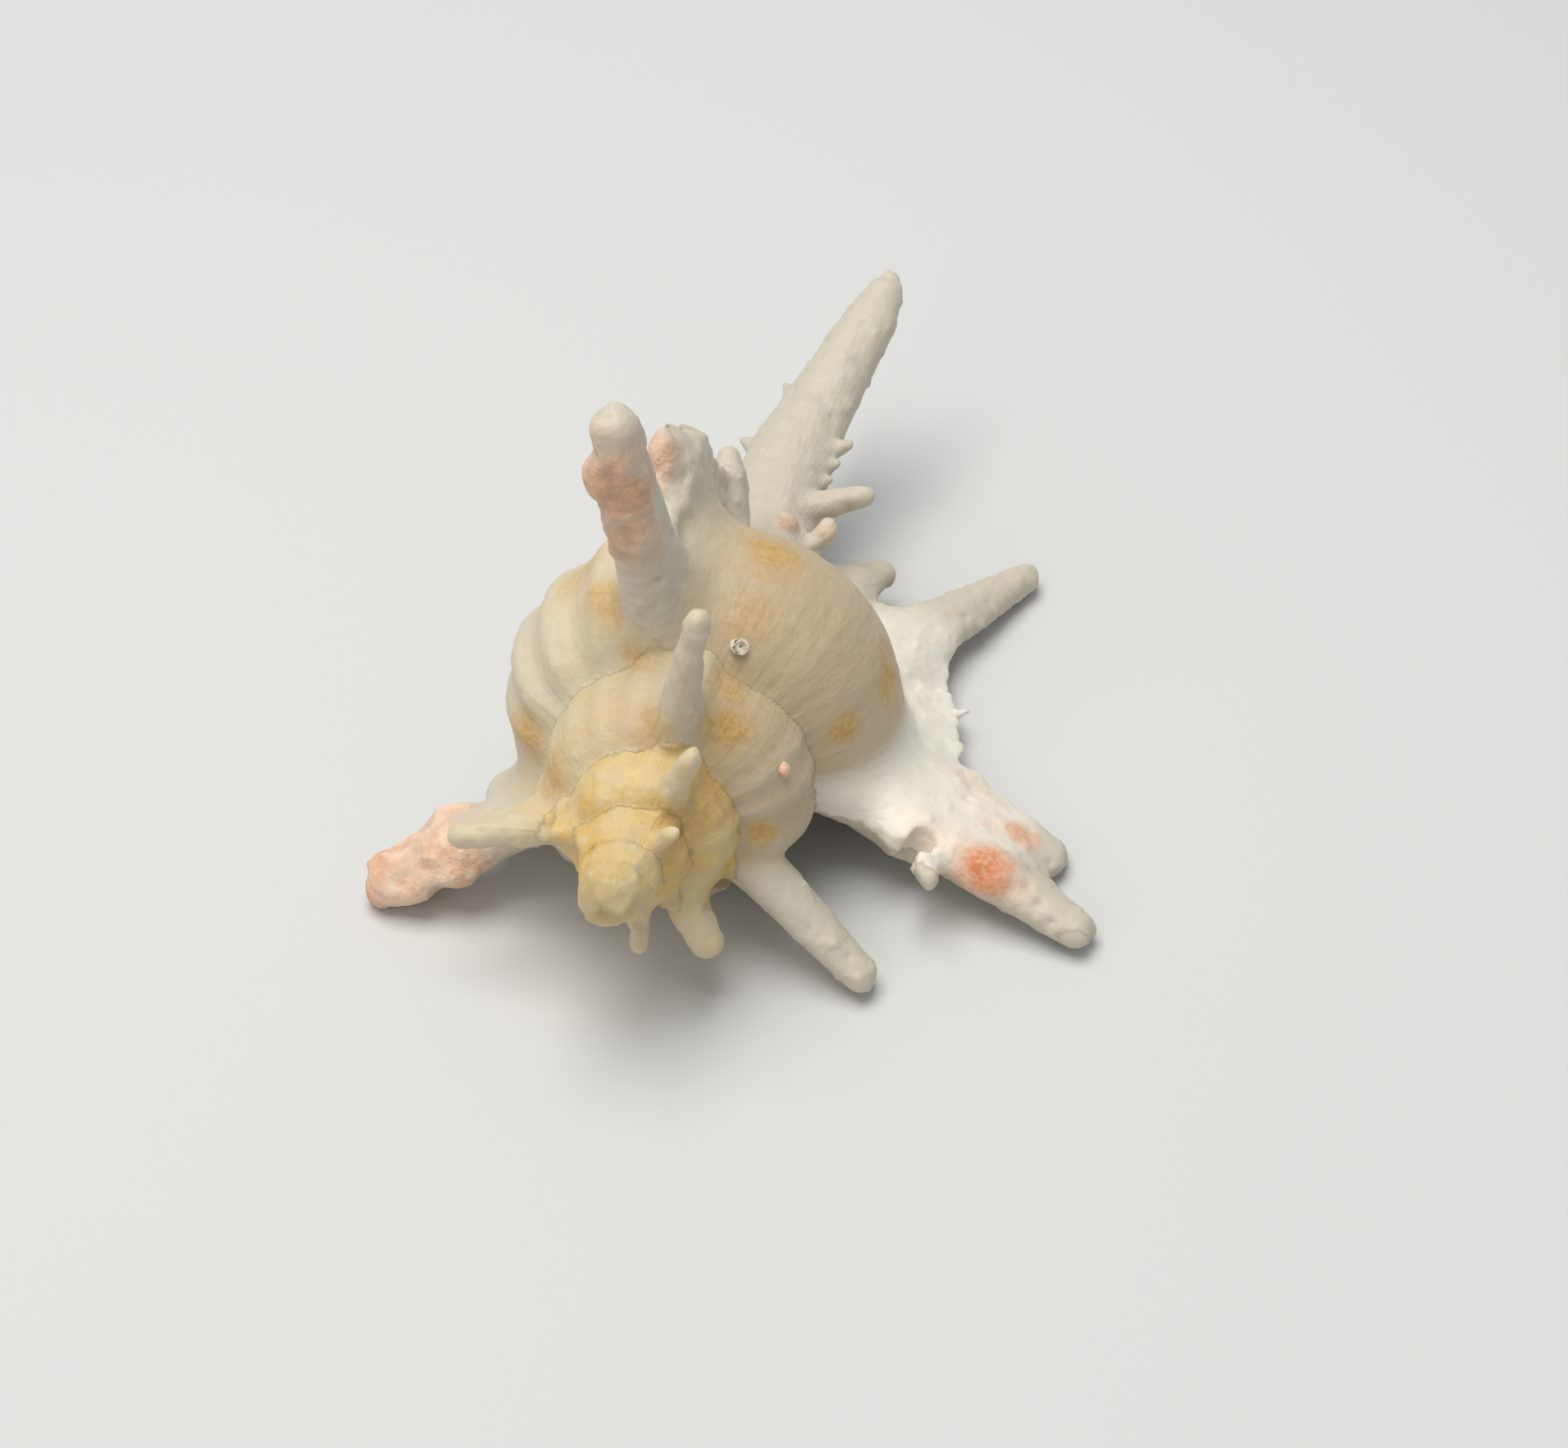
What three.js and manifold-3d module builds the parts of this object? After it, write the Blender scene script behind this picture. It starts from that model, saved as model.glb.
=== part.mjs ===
// A long-spined murex shell, lying as it rests: aperture down, on its spine tips and its canal.
//
// The shell is grown in its own frame. +Y is the coiling axis, from the apex to the siphonal canal,
// +Z points to the back of the shell and +X to the right of someone who looks at the apex.
// Growth runs clockwise round the axis, as seen from the apex, and each turn repeats the one before
// it on a larger scale. A point of a turn is given as [distance from the axis, height along it] at
// the size of the lip, and is scaled down for the older turns. All lengths are in millimetres.
import * as THREE from 'three';
import { mergeVertices } from 'three/addons/utils/BufferGeometryUtils.js';
import Module from 'manifold-3d';

const rad = THREE.MathUtils.degToRad;
const TURN = 2 * Math.PI;

// ---- driving dimensions
const GROWTH = 1.58; // how much larger each turn is than the last
const LIP_ANGLE = rad(114); // where the shell stopped growing, turned from +Z towards +X
const VARIX_STEP = rad(114); // growth between two varices
const VARICES = 17; // varices from the lip back to the apex
const LIP_CONTRACTION = 0.1; // the last half turn draws in by this share
const CONTRACTION_START = rad(-140);
const RINGS_PER_VARIX = 9; // cross-sections that make up the growth between two varices

// the outside of a turn, from the suture to the neck: radius, height, share of the varix swelling
const TURN_OUTLINE = [
  [0.8, 15.2, 0], [5.0, 14.9, 0], [8.2, 16.0, 0], [9.5, 16.9, 0.2], [11.0, 17.9, 0.7],
  [12.3, 19.4, 1], [13.3, 21.5, 1], [13.8, 24.0, 1], [13.6, 26.6, 1], [12.7, 29.0, 1],
  [11.2, 31.0, 0.9], [9.2, 33.0, 0.7], [7.2, 35.0, 0.5], [5.3, 36.9, 0.3], [3.6, 38.2, 0],
  [1.8, 39.0, 0], [0.8, 39.0, 0],
];
const SWELLING_CENTRE = [6, 25.5];
const VARIX_SWELLING = 1.7;
const VARIX_BACK = rad(13); // the swelling rises slowly behind the varix and drops before it
const VARIX_FRONT = rad(8);

// the living chamber, wound back from the lip
const LUMEN_OUTLINE = [
  [5.2, 19.6], [8.0, 18.5], [10.6, 19.6], [11.9, 21.8], [12.3, 24.6], [11.6, 27.6], [9.6, 30.2],
  [7.2, 32.4], [5.0, 34.2], [3.6, 33.2], [3.5, 29.5], [3.5, 25.5], [3.9, 22.0],
];
const LUMEN_DEPTH = rad(250);
const LUMEN_MOUTH = rad(14); // it is cut on past the lip, so that it opens
const LUMEN_CENTRE = [7.4, 25.5];
const LUMEN_END_SIZE = 0.25; // its inner end narrows to this share of its size
const LUMEN_END_LENGTH = 0.2; // over this share of its length
const LUMEN_RINGS = 22;

// the siphonal canal: x, y, z of its middle line, half width, half thickness
const CANAL = [
  [0.0, 26.0, 0.0, 1.8, 1.8], [0.0, 32.0, 0.0, 3.0, 2.8], [0.0, 36.0, 0.4, 4.2, 3.8],
  [0.1, 39.5, 1.8, 3.8, 3.4], [0.3, 42.5, 3.4, 3.3, 2.8], [0.8, 45.5, 4.9, 2.9, 2.4],
  [1.6, 49.0, 6.3, 2.5, 2.0], [2.9, 52.5, 8.4, 2.1, 1.8], [4.1, 55.5, 10.3, 1.8, 1.5],
  [4.7, 57.3, 11.6, 1.3, 1.15], [5.0, 58.2, 12.2, 0.5, 0.5],
];

// the slit of the canal, which runs on from the foot of the aperture: x, y, z of its inner edge
const SLIT = [
  [5.0, 31.0, -2.4], [3.6, 34.0, -1.2], [2.2, 37.0, 0.2], [1.2, 40.5, 2.2], [0.6, 44.0, 4.0],
  [1.5, 49.0, 6.2], [2.9, 52.5, 8.3], [4.3, 56.4, 10.9],
];
const SLIT_HALF_WIDTH = 0.6;
const SLIT_REACH = 5;
const SLIT_SECTION = [[0, 0], [1, 0], [1, 1], [0, 1]];

// Spines: the varix that bears it, then root and tip as [radius, height, lean along growth] at the
// varix's own size, and the half widths across and the half thicknesses, at the root and the tip
const SPINES = [
  // the shoulder spine of every varix, from the lip back
  { varix: 0, root: [10.0, 22.4, 0], tip: [27.4, 15.9, -1.1], width: [3.6, 1.4], thick: [1.9, 1.1] },
  { varix: 1, root: [9.6, 19.6, -0.4], tip: [28.9, 14.5, -1.8], width: [3.2, 1.9], thick: [2.6, 1.7] },
  { varix: 2, root: [9.6, 19.6, 0], tip: [27.0, 14.9, -1.1], width: [3.6, 2.2], thick: [2.6, 2.0] },
  { varix: 3, root: [9.0, 19.6, -0.4], tip: [26.4, 15.0, -1.3], width: [3.3, 1.9], thick: [2.4, 1.6] },
  { varix: 4, root: [9.0, 19.0, 0], tip: [27.7, 14.7, -1.2], width: [3.0, 1.4], thick: [2.6, 1.3] },
  { varix: 5, root: [9.0, 19.0, 0], tip: [24.2, 15.5, -0.9], width: [4.0, 1.8], thick: [3.2, 1.5] },
  { varix: 6, root: [9.0, 19.0, 0], tip: [21.0, 16.3, 0.0], width: [3.6, 2.8], thick: [3.0, 2.6] },
  { varix: 7, root: [9.0, 19.0, 0], tip: [22.6, 15.8, -2.4], width: [3.0, 1.8], thick: [2.6, 1.8] },
  { varix: 8, root: [9.0, 19.0, 0], tip: [15.0, 17.3, 0], width: [3.0, 1.8], thick: [2.6, 1.8] },
  { varix: 9, root: [9.0, 19.0, 0], tip: [22.8, 16.2, 2.4], width: [3.2, 2.2], thick: [2.8, 2.2] },
  { varix: 10, root: [9.0, 19.0, 0], tip: [20.0, 16.3, -2.4], width: [3.0, 1.8], thick: [2.6, 1.8] },
  // the second lobes of the last three varices
  { varix: 0, root: [14.0, 25.0, 0], tip: [24.4, 23.2, -0.9], width: [3.6, 1.0], thick: [1.3, 0.9] },
  { varix: 0, root: [13.5, 20.8, 0], tip: [17.3, 14.2, -0.9], width: [1.6, 0.6], thick: [1.3, 0.6] },
  { varix: 1, root: [11.0, 25.0, -0.6], tip: [21.2, 26.6, -1.4], width: [3.6, 1.8], thick: [1.9, 1.2] },
  { varix: 1, root: [11.0, 28.0, -0.6], tip: [19.0, 29.4, -1.2], width: [3.6, 2.0], thick: [1.9, 1.1] },
  { varix: 2, root: [11.0, 25.0, 0], tip: [20.0, 24.8, -0.8], width: [3.6, 1.5], thick: [1.9, 1.2] },
  // the spines of the base, which point forward to the canal
  { varix: 0, root: [8.6, 33.0, 0], tip: [17.0, 48.0, -3.2], width: [2.5, 1.0], thick: [1.9, 1.0] },
  { varix: 0, root: [4.4, 38.8, 0], tip: [8.0, 43.0, -1.6], width: [1.4, 1.0], thick: [1.3, 0.9] },
  { varix: 1, root: [8.6, 35.2, 0], tip: [12.6, 40.3, -0.9], width: [2.2, 0.9], thick: [1.7, 0.9] },
  { varix: 2, root: [9.6, 36.6, 0], tip: [16.4, 43.4, -1.6], width: [2.4, 0.9], thick: [1.7, 0.8] },
];
const SPINE_STEPS = 4;
// how a tip rounds off: distance from its end, in its own thicknesses, and the share of its width
const SPINE_TIP = [[1, 1], [0.3, 0.75], [0, 0.3]];
const OVAL_SIDES = 8;

// the thin blade of the lip varix, from the shoulder to the canal
const LIP_BLADE = [
  [7.6, 20.4], [13.6, 19.6], [19.0, 18.6], [22.5, 18.6], [22.2, 22.4], [20.6, 25.4], [17.2, 28.2],
  [15.0, 33.6], [12.0, 38.6], [8.0, 40.4], [4.0, 41.4], [3.0, 39.0], [5.6, 35.0], [10.4, 30.0],
  [11.0, 23.0],
];
// the blade of the varix on the back
const BACK_BLADE = [
  [9.0, 20.0], [15.0, 19.6], [17.0, 21.0], [17.4, 24.0], [18.6, 27.0], [18.8, 29.5], [18.0, 31.2],
  [16.4, 32.6], [14.6, 34.4], [12.6, 36.6], [10.6, 38.8], [6.0, 41.0], [3.6, 40.6], [6.4, 36.0],
  [10.4, 30.0], [11.0, 24.0],
];
// the blade of the varix before that
const OLD_BLADE = [
  [9.0, 20.0], [15.0, 19.6], [18.0, 21.0], [17.4, 25.0], [15.0, 29.0], [12.4, 32.6], [11.4, 35.4],
  [9.6, 38.6], [6.0, 41.0], [3.6, 40.6], [6.4, 36.0], [10.4, 30.0], [11.0, 24.0],
];
const BLADE_THICKNESS = 1.5;
const BLADE_SET_BACK = 0.4; // behind the middle of its varix

// the solid middle of the turns, with the blunt dome of the apex on its end: radius, height
const COLUMELLA = [
  [0, -0.5], [0.9, -0.3], [1.6, 0.3], [2.0, 1.4], [2.2, 3.0], [2.2, 4.6], [1.4, 8.0], [1.4, 14.0],
  [2.9, 36.0], [0, 37.0],
];
const COLUMELLA_SIDES = 12;

// how the shell lies: turned about X, then about Y
const REST_PITCH = rad(-10.2);
const REST_ROLL = rad(-3);

const WELD = 1e-4; // points closer than this are one point
const CRUMB_SIZE = 2e-3; // edges left by the cuts that are shorter than this are closed up
const IVORY = 0xd9cfc0;
const SATIN = 0.55;

// ---- growth
const scaleAt = (growth) => GROWTH ** (growth / TURN);
const drawnIn = (growth) => 1 - LIP_CONTRACTION * THREE.MathUtils.smoothstep(growth, CONTRACTION_START, 0);

// a place on the turn that was grown at the given angle before the lip (a negative angle)
function grown(growth, radius, height, along = 0) {
  const angle = LIP_ANGLE + growth;
  const scale = scaleAt(growth);
  const out = new THREE.Vector3(Math.sin(angle), 0, Math.cos(angle));
  const forward = new THREE.Vector3(Math.cos(angle), 0, -Math.sin(angle));
  return out.multiplyScalar(radius * scale)
    .addScaledVector(forward, along * scale)
    .add(new THREE.Vector3(0, height * scale, 0));
}

function swelling(growth) {
  const nearest = Math.round(growth / VARIX_STEP) * VARIX_STEP;
  const past = growth - nearest;
  return VARIX_SWELLING * Math.exp(-((past / (past > 0 ? VARIX_FRONT : VARIX_BACK)) ** 2));
}

function turnRing(growth) {
  const lift = swelling(growth);
  return TURN_OUTLINE.map(([radius, height, share]) => {
    const away = new THREE.Vector2(radius - SWELLING_CENTRE[0], height - SWELLING_CENTRE[1]).normalize();
    const r = (radius + away.x * lift * share) * drawnIn(growth);
    return grown(growth, r, height + away.y * lift * share);
  });
}

// ---- solids
const wasm = await Module();
wasm.setup();

function toSolid(geometry, weld = WELD) {
  const bare = new THREE.BufferGeometry();
  bare.setAttribute('position', geometry.getAttribute('position'));
  bare.setIndex(geometry.getIndex());
  const merged = mergeVertices(bare, weld);
  return new wasm.Manifold(new wasm.Mesh({
    numProp: 3,
    vertProperties: new Float32Array(merged.getAttribute('position').array),
    triVerts: new Uint32Array(merged.getIndex().array),
  }));
}

function volume(points, faces) {
  let sum = 0;
  for (const [a, b, c] of faces) {
    sum += points[a].dot(new THREE.Vector3().crossVectors(points[b], points[c]));
  }
  return sum;
}

// joins closed rings of points into one closed skin, with flat caps cut along the given outline
function loft(rings, capOutline) {
  const count = rings[0].length;
  const points = rings.flat();
  const faces = [];
  for (let ring = 0; ring < rings.length - 1; ring += 1) {
    for (let side = 0; side < count; side += 1) {
      const a = ring * count + side;
      const b = ring * count + ((side + 1) % count);
      faces.push([a, b, b + count], [a, b + count, a + count]);
    }
  }
  // the triangles of a cap run against the ring that they close
  const last = (rings.length - 1) * count;
  const clockwise = THREE.ShapeUtils.isClockWise(capOutline);
  for (const triangle of THREE.ShapeUtils.triangulateShape(capOutline, [])) {
    const [a, b, c] = clockwise ? triangle : triangle.toReversed();
    faces.push([a, b, c], [last + a, last + c, last + b]);
  }
  if (volume(points, faces) < 0) faces.forEach((face) => face.reverse());
  const geometry = new THREE.BufferGeometry().setFromPoints(points);
  geometry.setIndex(faces.flat());
  return toSolid(geometry);
}

const flat = (outline) => outline.map(([u, v]) => new THREE.Vector2(u, v));

// the growth between one varix and the next, as one curved solid
function turnStretch(varix) {
  const rings = [];
  for (let step = 0; step <= RINGS_PER_VARIX; step += 1) {
    rings.push(turnRing(-(varix + 1 - step / RINGS_PER_VARIX) * VARIX_STEP));
  }
  return loft(rings, flat(TURN_OUTLINE));
}

// the corners of an oval's section, on a circle of radius 1, and turned so that it lies on a flat side
const OVAL_SECTION = Array.from({ length: OVAL_SIDES }, (_, side) => {
  const angle = ((side + 1 / 2) / OVAL_SIDES) * TURN;
  return new THREE.Vector2(Math.cos(angle), Math.sin(angle));
});

// an oval ring round a middle point, spanned by two directions
function oval(middle, across, through, halfWidth, halfThickness) {
  return OVAL_SECTION.map((corner) => middle.clone()
    .addScaledVector(across, halfWidth * corner.x)
    .addScaledVector(through, halfThickness * corner.y));
}

function spine({ varix, root, tip, width, thick }) {
  const growth = -varix * VARIX_STEP;
  const scale = scaleAt(growth);
  const start = grown(growth, ...root);
  const end = grown(growth, ...tip);
  const along = end.clone().sub(start).normalize();
  const forward = grown(growth, 0, 0, 1).normalize();
  const through = forward.addScaledVector(along, -forward.dot(along)).normalize();
  const across = new THREE.Vector3().crossVectors(through, along);
  const tipLength = thick[1] * scale / start.distanceTo(end);
  const stations = [];
  for (let step = 0; step < SPINE_STEPS; step += 1) stations.push([step / SPINE_STEPS * (1 - tipLength), 1]);
  for (const [away, fullness] of SPINE_TIP) stations.push([1 - tipLength * away, fullness]);
  const rings = stations.map(([share, fullness]) => {
    const half = (pair) => THREE.MathUtils.lerp(pair[0], pair[1], share) * scale * fullness;
    return oval(start.clone().lerp(end, share), across, through, half(width), half(thick));
  });
  return loft(rings, OVAL_SECTION);
}

function blade(varix, outline) {
  const growth = -varix * VARIX_STEP;
  const half = BLADE_THICKNESS / 2;
  const face = (along) => outline.map(([radius, height]) => grown(growth, radius, height, along));
  return loft([face(-half - BLADE_SET_BACK), face(half - BLADE_SET_BACK)], flat(outline));
}

function canal() {
  const rings = CANAL.map(([x, y, z, halfWidth, halfThickness], index) => {
    const before = new THREE.Vector3(...CANAL[Math.max(index - 1, 0)]);
    const after = new THREE.Vector3(...CANAL[Math.min(index + 1, CANAL.length - 1)]);
    const along = after.sub(before).normalize();
    const across = new THREE.Vector3(1, 0, 0).addScaledVector(along, -along.x).normalize();
    const through = new THREE.Vector3().crossVectors(across, along);
    return oval(new THREE.Vector3(x, y, z), across, through, halfWidth, halfThickness);
  });
  return loft(rings, OVAL_SECTION);
}

// the open slit along the underside of the canal, cut the way that the aperture faces
function slit() {
  const facing = grown(0, 0, 0, 1);
  const rings = SLIT.map(([x, y, z]) => {
    const inner = new THREE.Vector3(x, y, z);
    const outer = inner.clone().addScaledVector(facing, SLIT_REACH);
    const side = new THREE.Vector3(0, 1, 0).cross(facing).multiplyScalar(SLIT_HALF_WIDTH);
    return [
      inner.clone().sub(side), inner.clone().add(side), outer.clone().add(side), outer.clone().sub(side),
    ];
  });
  return loft(rings, flat(SLIT_SECTION));
}

// the chamber narrows at its inner end
function lumen() {
  const rings = [];
  for (let step = 0; step <= LUMEN_RINGS; step += 1) {
    const share = step / LUMEN_RINGS;
    const growth = THREE.MathUtils.lerp(-LUMEN_DEPTH, LUMEN_MOUTH, share);
    const size = THREE.MathUtils.lerp(LUMEN_END_SIZE, 1, Math.min(share / LUMEN_END_LENGTH, 1));
    rings.push(LUMEN_OUTLINE.map(([radius, height]) => {
      const r = LUMEN_CENTRE[0] + (radius - LUMEN_CENTRE[0]) * size;
      const h = LUMEN_CENTRE[1] + (height - LUMEN_CENTRE[1]) * size;
      return grown(growth, r * drawnIn(growth), h);
    }));
  }
  return loft(rings, flat(LUMEN_OUTLINE));
}

function columella() {
  const profile = COLUMELLA.map(([radius, height]) => new THREE.Vector2(radius, height));
  return toSolid(new THREE.LatheGeometry(profile, COLUMELLA_SIDES));
}

function shell() {
  let solid = columella();
  for (let varix = 0; varix < VARICES; varix += 1) solid = solid.add(turnStretch(varix));
  solid = solid.add(canal());
  [LIP_BLADE, BACK_BLADE, OLD_BLADE].forEach((outline, varix) => {
    solid = solid.add(blade(varix, outline));
  });
  for (const size of SPINES) solid = solid.add(spine(size));
  return solid.subtract(lumen()).subtract(slit());
}

// The cuts can leave crumbs. Points that nearly meet are joined, and the shell is the largest piece.
function withoutCrumbs(solid) {
  const pieces = toSolid(toGeometry(solid), CRUMB_SIZE).decompose();
  return pieces.reduce((best, piece) => (piece.volume() > best.volume() ? piece : best));
}

function toGeometry(solid) {
  const mesh = solid.getMesh();
  const geometry = new THREE.BufferGeometry();
  const stride = mesh.numProp;
  const positions = [];
  for (let index = 0; index < mesh.vertProperties.length; index += stride) {
    positions.push(...mesh.vertProperties.slice(index, index + 3));
  }
  geometry.setAttribute('position', new THREE.Float32BufferAttribute(positions, 3));
  geometry.setIndex(Array.from(mesh.triVerts));
  return geometry;
}

const geometry = toGeometry(withoutCrumbs(shell()));
geometry.computeVertexNormals();
const ivory = new THREE.MeshStandardMaterial({ color: IVORY, roughness: SATIN, metalness: 0 });
const murexShell = new THREE.Mesh(geometry, ivory);
murexShell.name = 'murex_shell';

// laid down as it rests, with the middle of its box over the origin and its lowest point on the ground
murexShell.rotation.set(REST_PITCH, REST_ROLL, 0, 'YXZ');
const box = new THREE.Box3().setFromObject(murexShell, true);
murexShell.position.set(-(box.min.x + box.max.x) / 2, -(box.min.y + box.max.y) / 2, -box.min.z);

const group = new THREE.Group();
group.add(murexShell);
export default group;
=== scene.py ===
"""A long-spined murex shell, lying aperture down on its spine tips.

The shell is grown in its own frame, in millimetres: +Y is the coiling axis from the apex to the
siphonal canal, +Z points to the back of the shell and +X to the right of someone who looks at the
apex. Each turn repeats the one before it on a larger scale. A point of a turn is given as [distance
from the axis, height along it] at the size of the lip. The solid is worked out as a distance field
on a grid, skinned, given its fine relief and then laid down as it rests, in metres.
"""
import math
import bmesh
import bpy
import numpy as np
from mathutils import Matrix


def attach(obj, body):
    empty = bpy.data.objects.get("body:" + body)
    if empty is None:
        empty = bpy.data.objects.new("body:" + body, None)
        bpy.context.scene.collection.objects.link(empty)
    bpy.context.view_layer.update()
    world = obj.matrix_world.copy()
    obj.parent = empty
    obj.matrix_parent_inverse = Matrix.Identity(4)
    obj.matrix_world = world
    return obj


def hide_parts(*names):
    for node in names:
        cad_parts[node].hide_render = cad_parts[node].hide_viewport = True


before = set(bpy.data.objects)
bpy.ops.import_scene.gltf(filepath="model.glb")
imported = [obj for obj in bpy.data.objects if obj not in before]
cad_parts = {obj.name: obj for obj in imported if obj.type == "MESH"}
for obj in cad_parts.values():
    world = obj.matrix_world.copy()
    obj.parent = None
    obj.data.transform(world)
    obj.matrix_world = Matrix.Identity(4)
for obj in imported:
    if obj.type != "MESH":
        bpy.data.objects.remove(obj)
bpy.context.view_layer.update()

import openvdb
from mathutils import Matrix, Vector

REAL = np.float32
TURN = 2 * math.pi
MM = 0.001

# ---- driving dimensions, as in the solid model
GROWTH = 1.58
LIP_ANGLE = math.radians(114)
VARIX_STEP = math.radians(114)
LIP_CONTRACTION = 0.1
CONTRACTION_START = math.radians(-140)
TURNS = 8

TURN_OUTLINE = [
    (0.0, 15.2), (5.0, 14.9), (8.2, 16.0), (9.5, 16.9), (11.0, 17.9), (12.3, 19.4), (13.3, 21.5),
    (13.8, 24.0), (13.6, 26.6), (12.7, 29.0), (11.2, 31.0), (9.2, 33.0), (7.2, 35.0), (5.3, 36.9),
    (3.6, 38.2), (1.8, 39.0), (0.0, 39.1),
]
LUMEN_OUTLINE = [
    (5.2, 19.6), (8.0, 18.5), (10.6, 19.6), (11.9, 21.8), (12.3, 24.6), (11.6, 27.6), (9.6, 30.2),
    (7.2, 32.4), (5.0, 34.2), (3.6, 33.2), (3.5, 29.5), (3.5, 25.5), (3.9, 22.0),
]
LUMEN_DEPTH = math.radians(250)
VARIX_SWELLING = 1.7
VARIX_BACK = math.radians(13)
VARIX_FRONT = math.radians(8)

CANAL = [
    (0.0, 26.0, 0.0, 1.8, 1.8), (0.0, 32.0, 0.0, 3.0, 2.8), (0.0, 36.0, 0.4, 4.2, 3.8),
    (0.1, 39.5, 1.8, 3.5, 3.3), (0.3, 42.5, 3.4, 3.1, 2.7), (0.8, 45.5, 4.9, 2.9, 2.4),
    (1.6, 49.0, 6.3, 2.5, 2.0), (2.9, 52.5, 8.4, 2.1, 1.8), (4.1, 55.5, 10.3, 1.85, 1.5),
    (4.7, 57.2, 11.5, 1.3, 1.15), (4.95, 58.1, 12.15, 0.7, 0.6),
]
SLIT = [
    (5.0, 31.0, -2.4), (3.6, 34.0, -1.2), (2.2, 37.0, 0.2), (1.2, 40.5, 2.2), (0.6, 44.0, 4.0),
    (1.5, 49.0, 6.2), (2.9, 52.5, 8.3), (4.3, 56.4, 10.9),
]
SLIT_HALF_WIDTH = 0.5
SLIT_REACH = 5
SLIT_ROOM = ((-6, -12), (12, 15))

# Spines: varix, root and tip as (radius, height, lean along growth) at the varix's own size, then
# the half widths across and the half thicknesses, at the root and the tip, and the groove's depth
SPINES = [
    # the shoulder spine of every varix, from the lip back
    (0, (10.0, 22.4, 0), (27.4, 15.9, -1.1), (3.6, 1.4), (1.9, 1.1), 0.0),
    (1, (9.6, 19.6, -0.4), (28.7, 14.5, -1.8), (3.2, 1.7), (2.6, 1.6), 0.5),
    (2, (9.6, 19.6, 0), (27.0, 14.9, -1.1), (3.6, 2.2), (2.6, 2.0), 0.3),
    (3, (9.0, 19.6, -0.4), (26.4, 15.0, -1.3), (3.3, 1.9), (2.4, 1.6), 0.5),
    (4, (9.0, 19.0, 0), (27.7, 14.7, -1.2), (3.0, 1.4), (2.6, 1.3), 0.4),
    (5, (9.0, 19.0, 0), (24.0, 15.5, -0.9), (4.0, 1.9), (3.2, 1.6), 0.5),
    (6, (9.0, 19.0, 0), (21.0, 16.3, 0.0), (3.6, 2.8), (3.0, 2.6), 0.0),
    (7, (9.0, 19.0, 0), (22.6, 15.8, -2.4), (3.0, 1.8), (2.6, 1.8), 0.3),
    (8, (9.0, 19.0, 0), (15.0, 17.3, 0), (3.0, 1.8), (2.6, 1.8), 0.0),
    (9, (9.0, 19.0, 0), (22.8, 16.2, 2.4), (3.2, 2.2), (2.8, 2.2), 0.0),
    (10, (9.0, 19.0, 0), (20.0, 16.3, -2.4), (3.0, 1.8), (2.6, 1.8), 0.0),
    # the second lobes of the last three varices
    (0, (14.0, 24.0, 0), (24.6, 22.2, -0.9), (2.6, 1.2), (1.3, 0.9), 0.0),
    (0, (13.5, 20.8, 0), (17.3, 14.2, -0.9), (1.6, 0.6), (1.3, 0.6), 0.0),
    (1, (11.0, 25.0, -0.8), (20.8, 26.4, -1.7), (3.6, 1.9), (1.9, 1.2), 0.0),
    (1, (11.0, 28.0, -0.8), (18.7, 29.0, -1.4), (3.6, 2.1), (1.9, 1.1), 0.0),
    (2, (11.0, 25.0, 0), (18.6, 24.4, -0.8), (3.6, 1.5), (1.9, 1.2), 0.0),
    # the spines of the base, which point forward to the canal
    (0, (8.6, 33.0, 0), (17.0, 48.0, -3.2), (2.7, 1.0), (1.8, 1.0), 0.3),
    (0, (4.4, 38.8, 0), (8.0, 43.0, -1.6), (1.3, 1.0), (1.2, 0.9), 0.0),
    (1, (8.6, 35.2, 0), (12.6, 40.3, -0.9), (2.2, 0.9), (1.7, 0.9), 0.0),
    (2, (9.6, 36.6, 0), (16.4, 43.4, -1.6), (2.4, 0.9), (1.7, 0.8), 0.0),
]

LIP_BLADE = [
    (7.6, 20.4), (13.6, 19.6), (19.0, 18.4), (22.5, 18.0), (23.8, 20.4), (22.6, 23.4), (20.0, 25.5),
    (18.3, 27.2), (16.9, 28.8), (15.8, 31.4), (14.6, 34.6), (12.2, 38.6), (8.0, 39.8), (4.0, 40.6),
    (3.0, 39.0), (5.6, 35.0), (10.4, 30.0), (11.0, 23.0),
]
BACK_BLADE = [
    (9.0, 20.0), (15.0, 19.6), (17.0, 21.0), (17.4, 24.0), (18.6, 27.0), (19.2, 29.5), (18.4, 31.2),
    (16.4, 32.6), (14.6, 34.4), (12.6, 36.6), (10.6, 38.8), (6.0, 41.0), (3.6, 40.6), (6.4, 36.0),
    (10.4, 30.0), (11.0, 24.0),
]
OLD_BLADE = [
    (9.0, 20.0), (15.0, 19.6), (18.0, 21.0), (17.4, 25.0), (15.0, 29.0), (12.4, 32.6), (11.4, 35.4),
    (9.6, 38.6), (6.0, 41.0), (3.6, 40.6), (6.4, 36.0), (10.4, 30.0), (11.0, 24.0),
]

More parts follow.
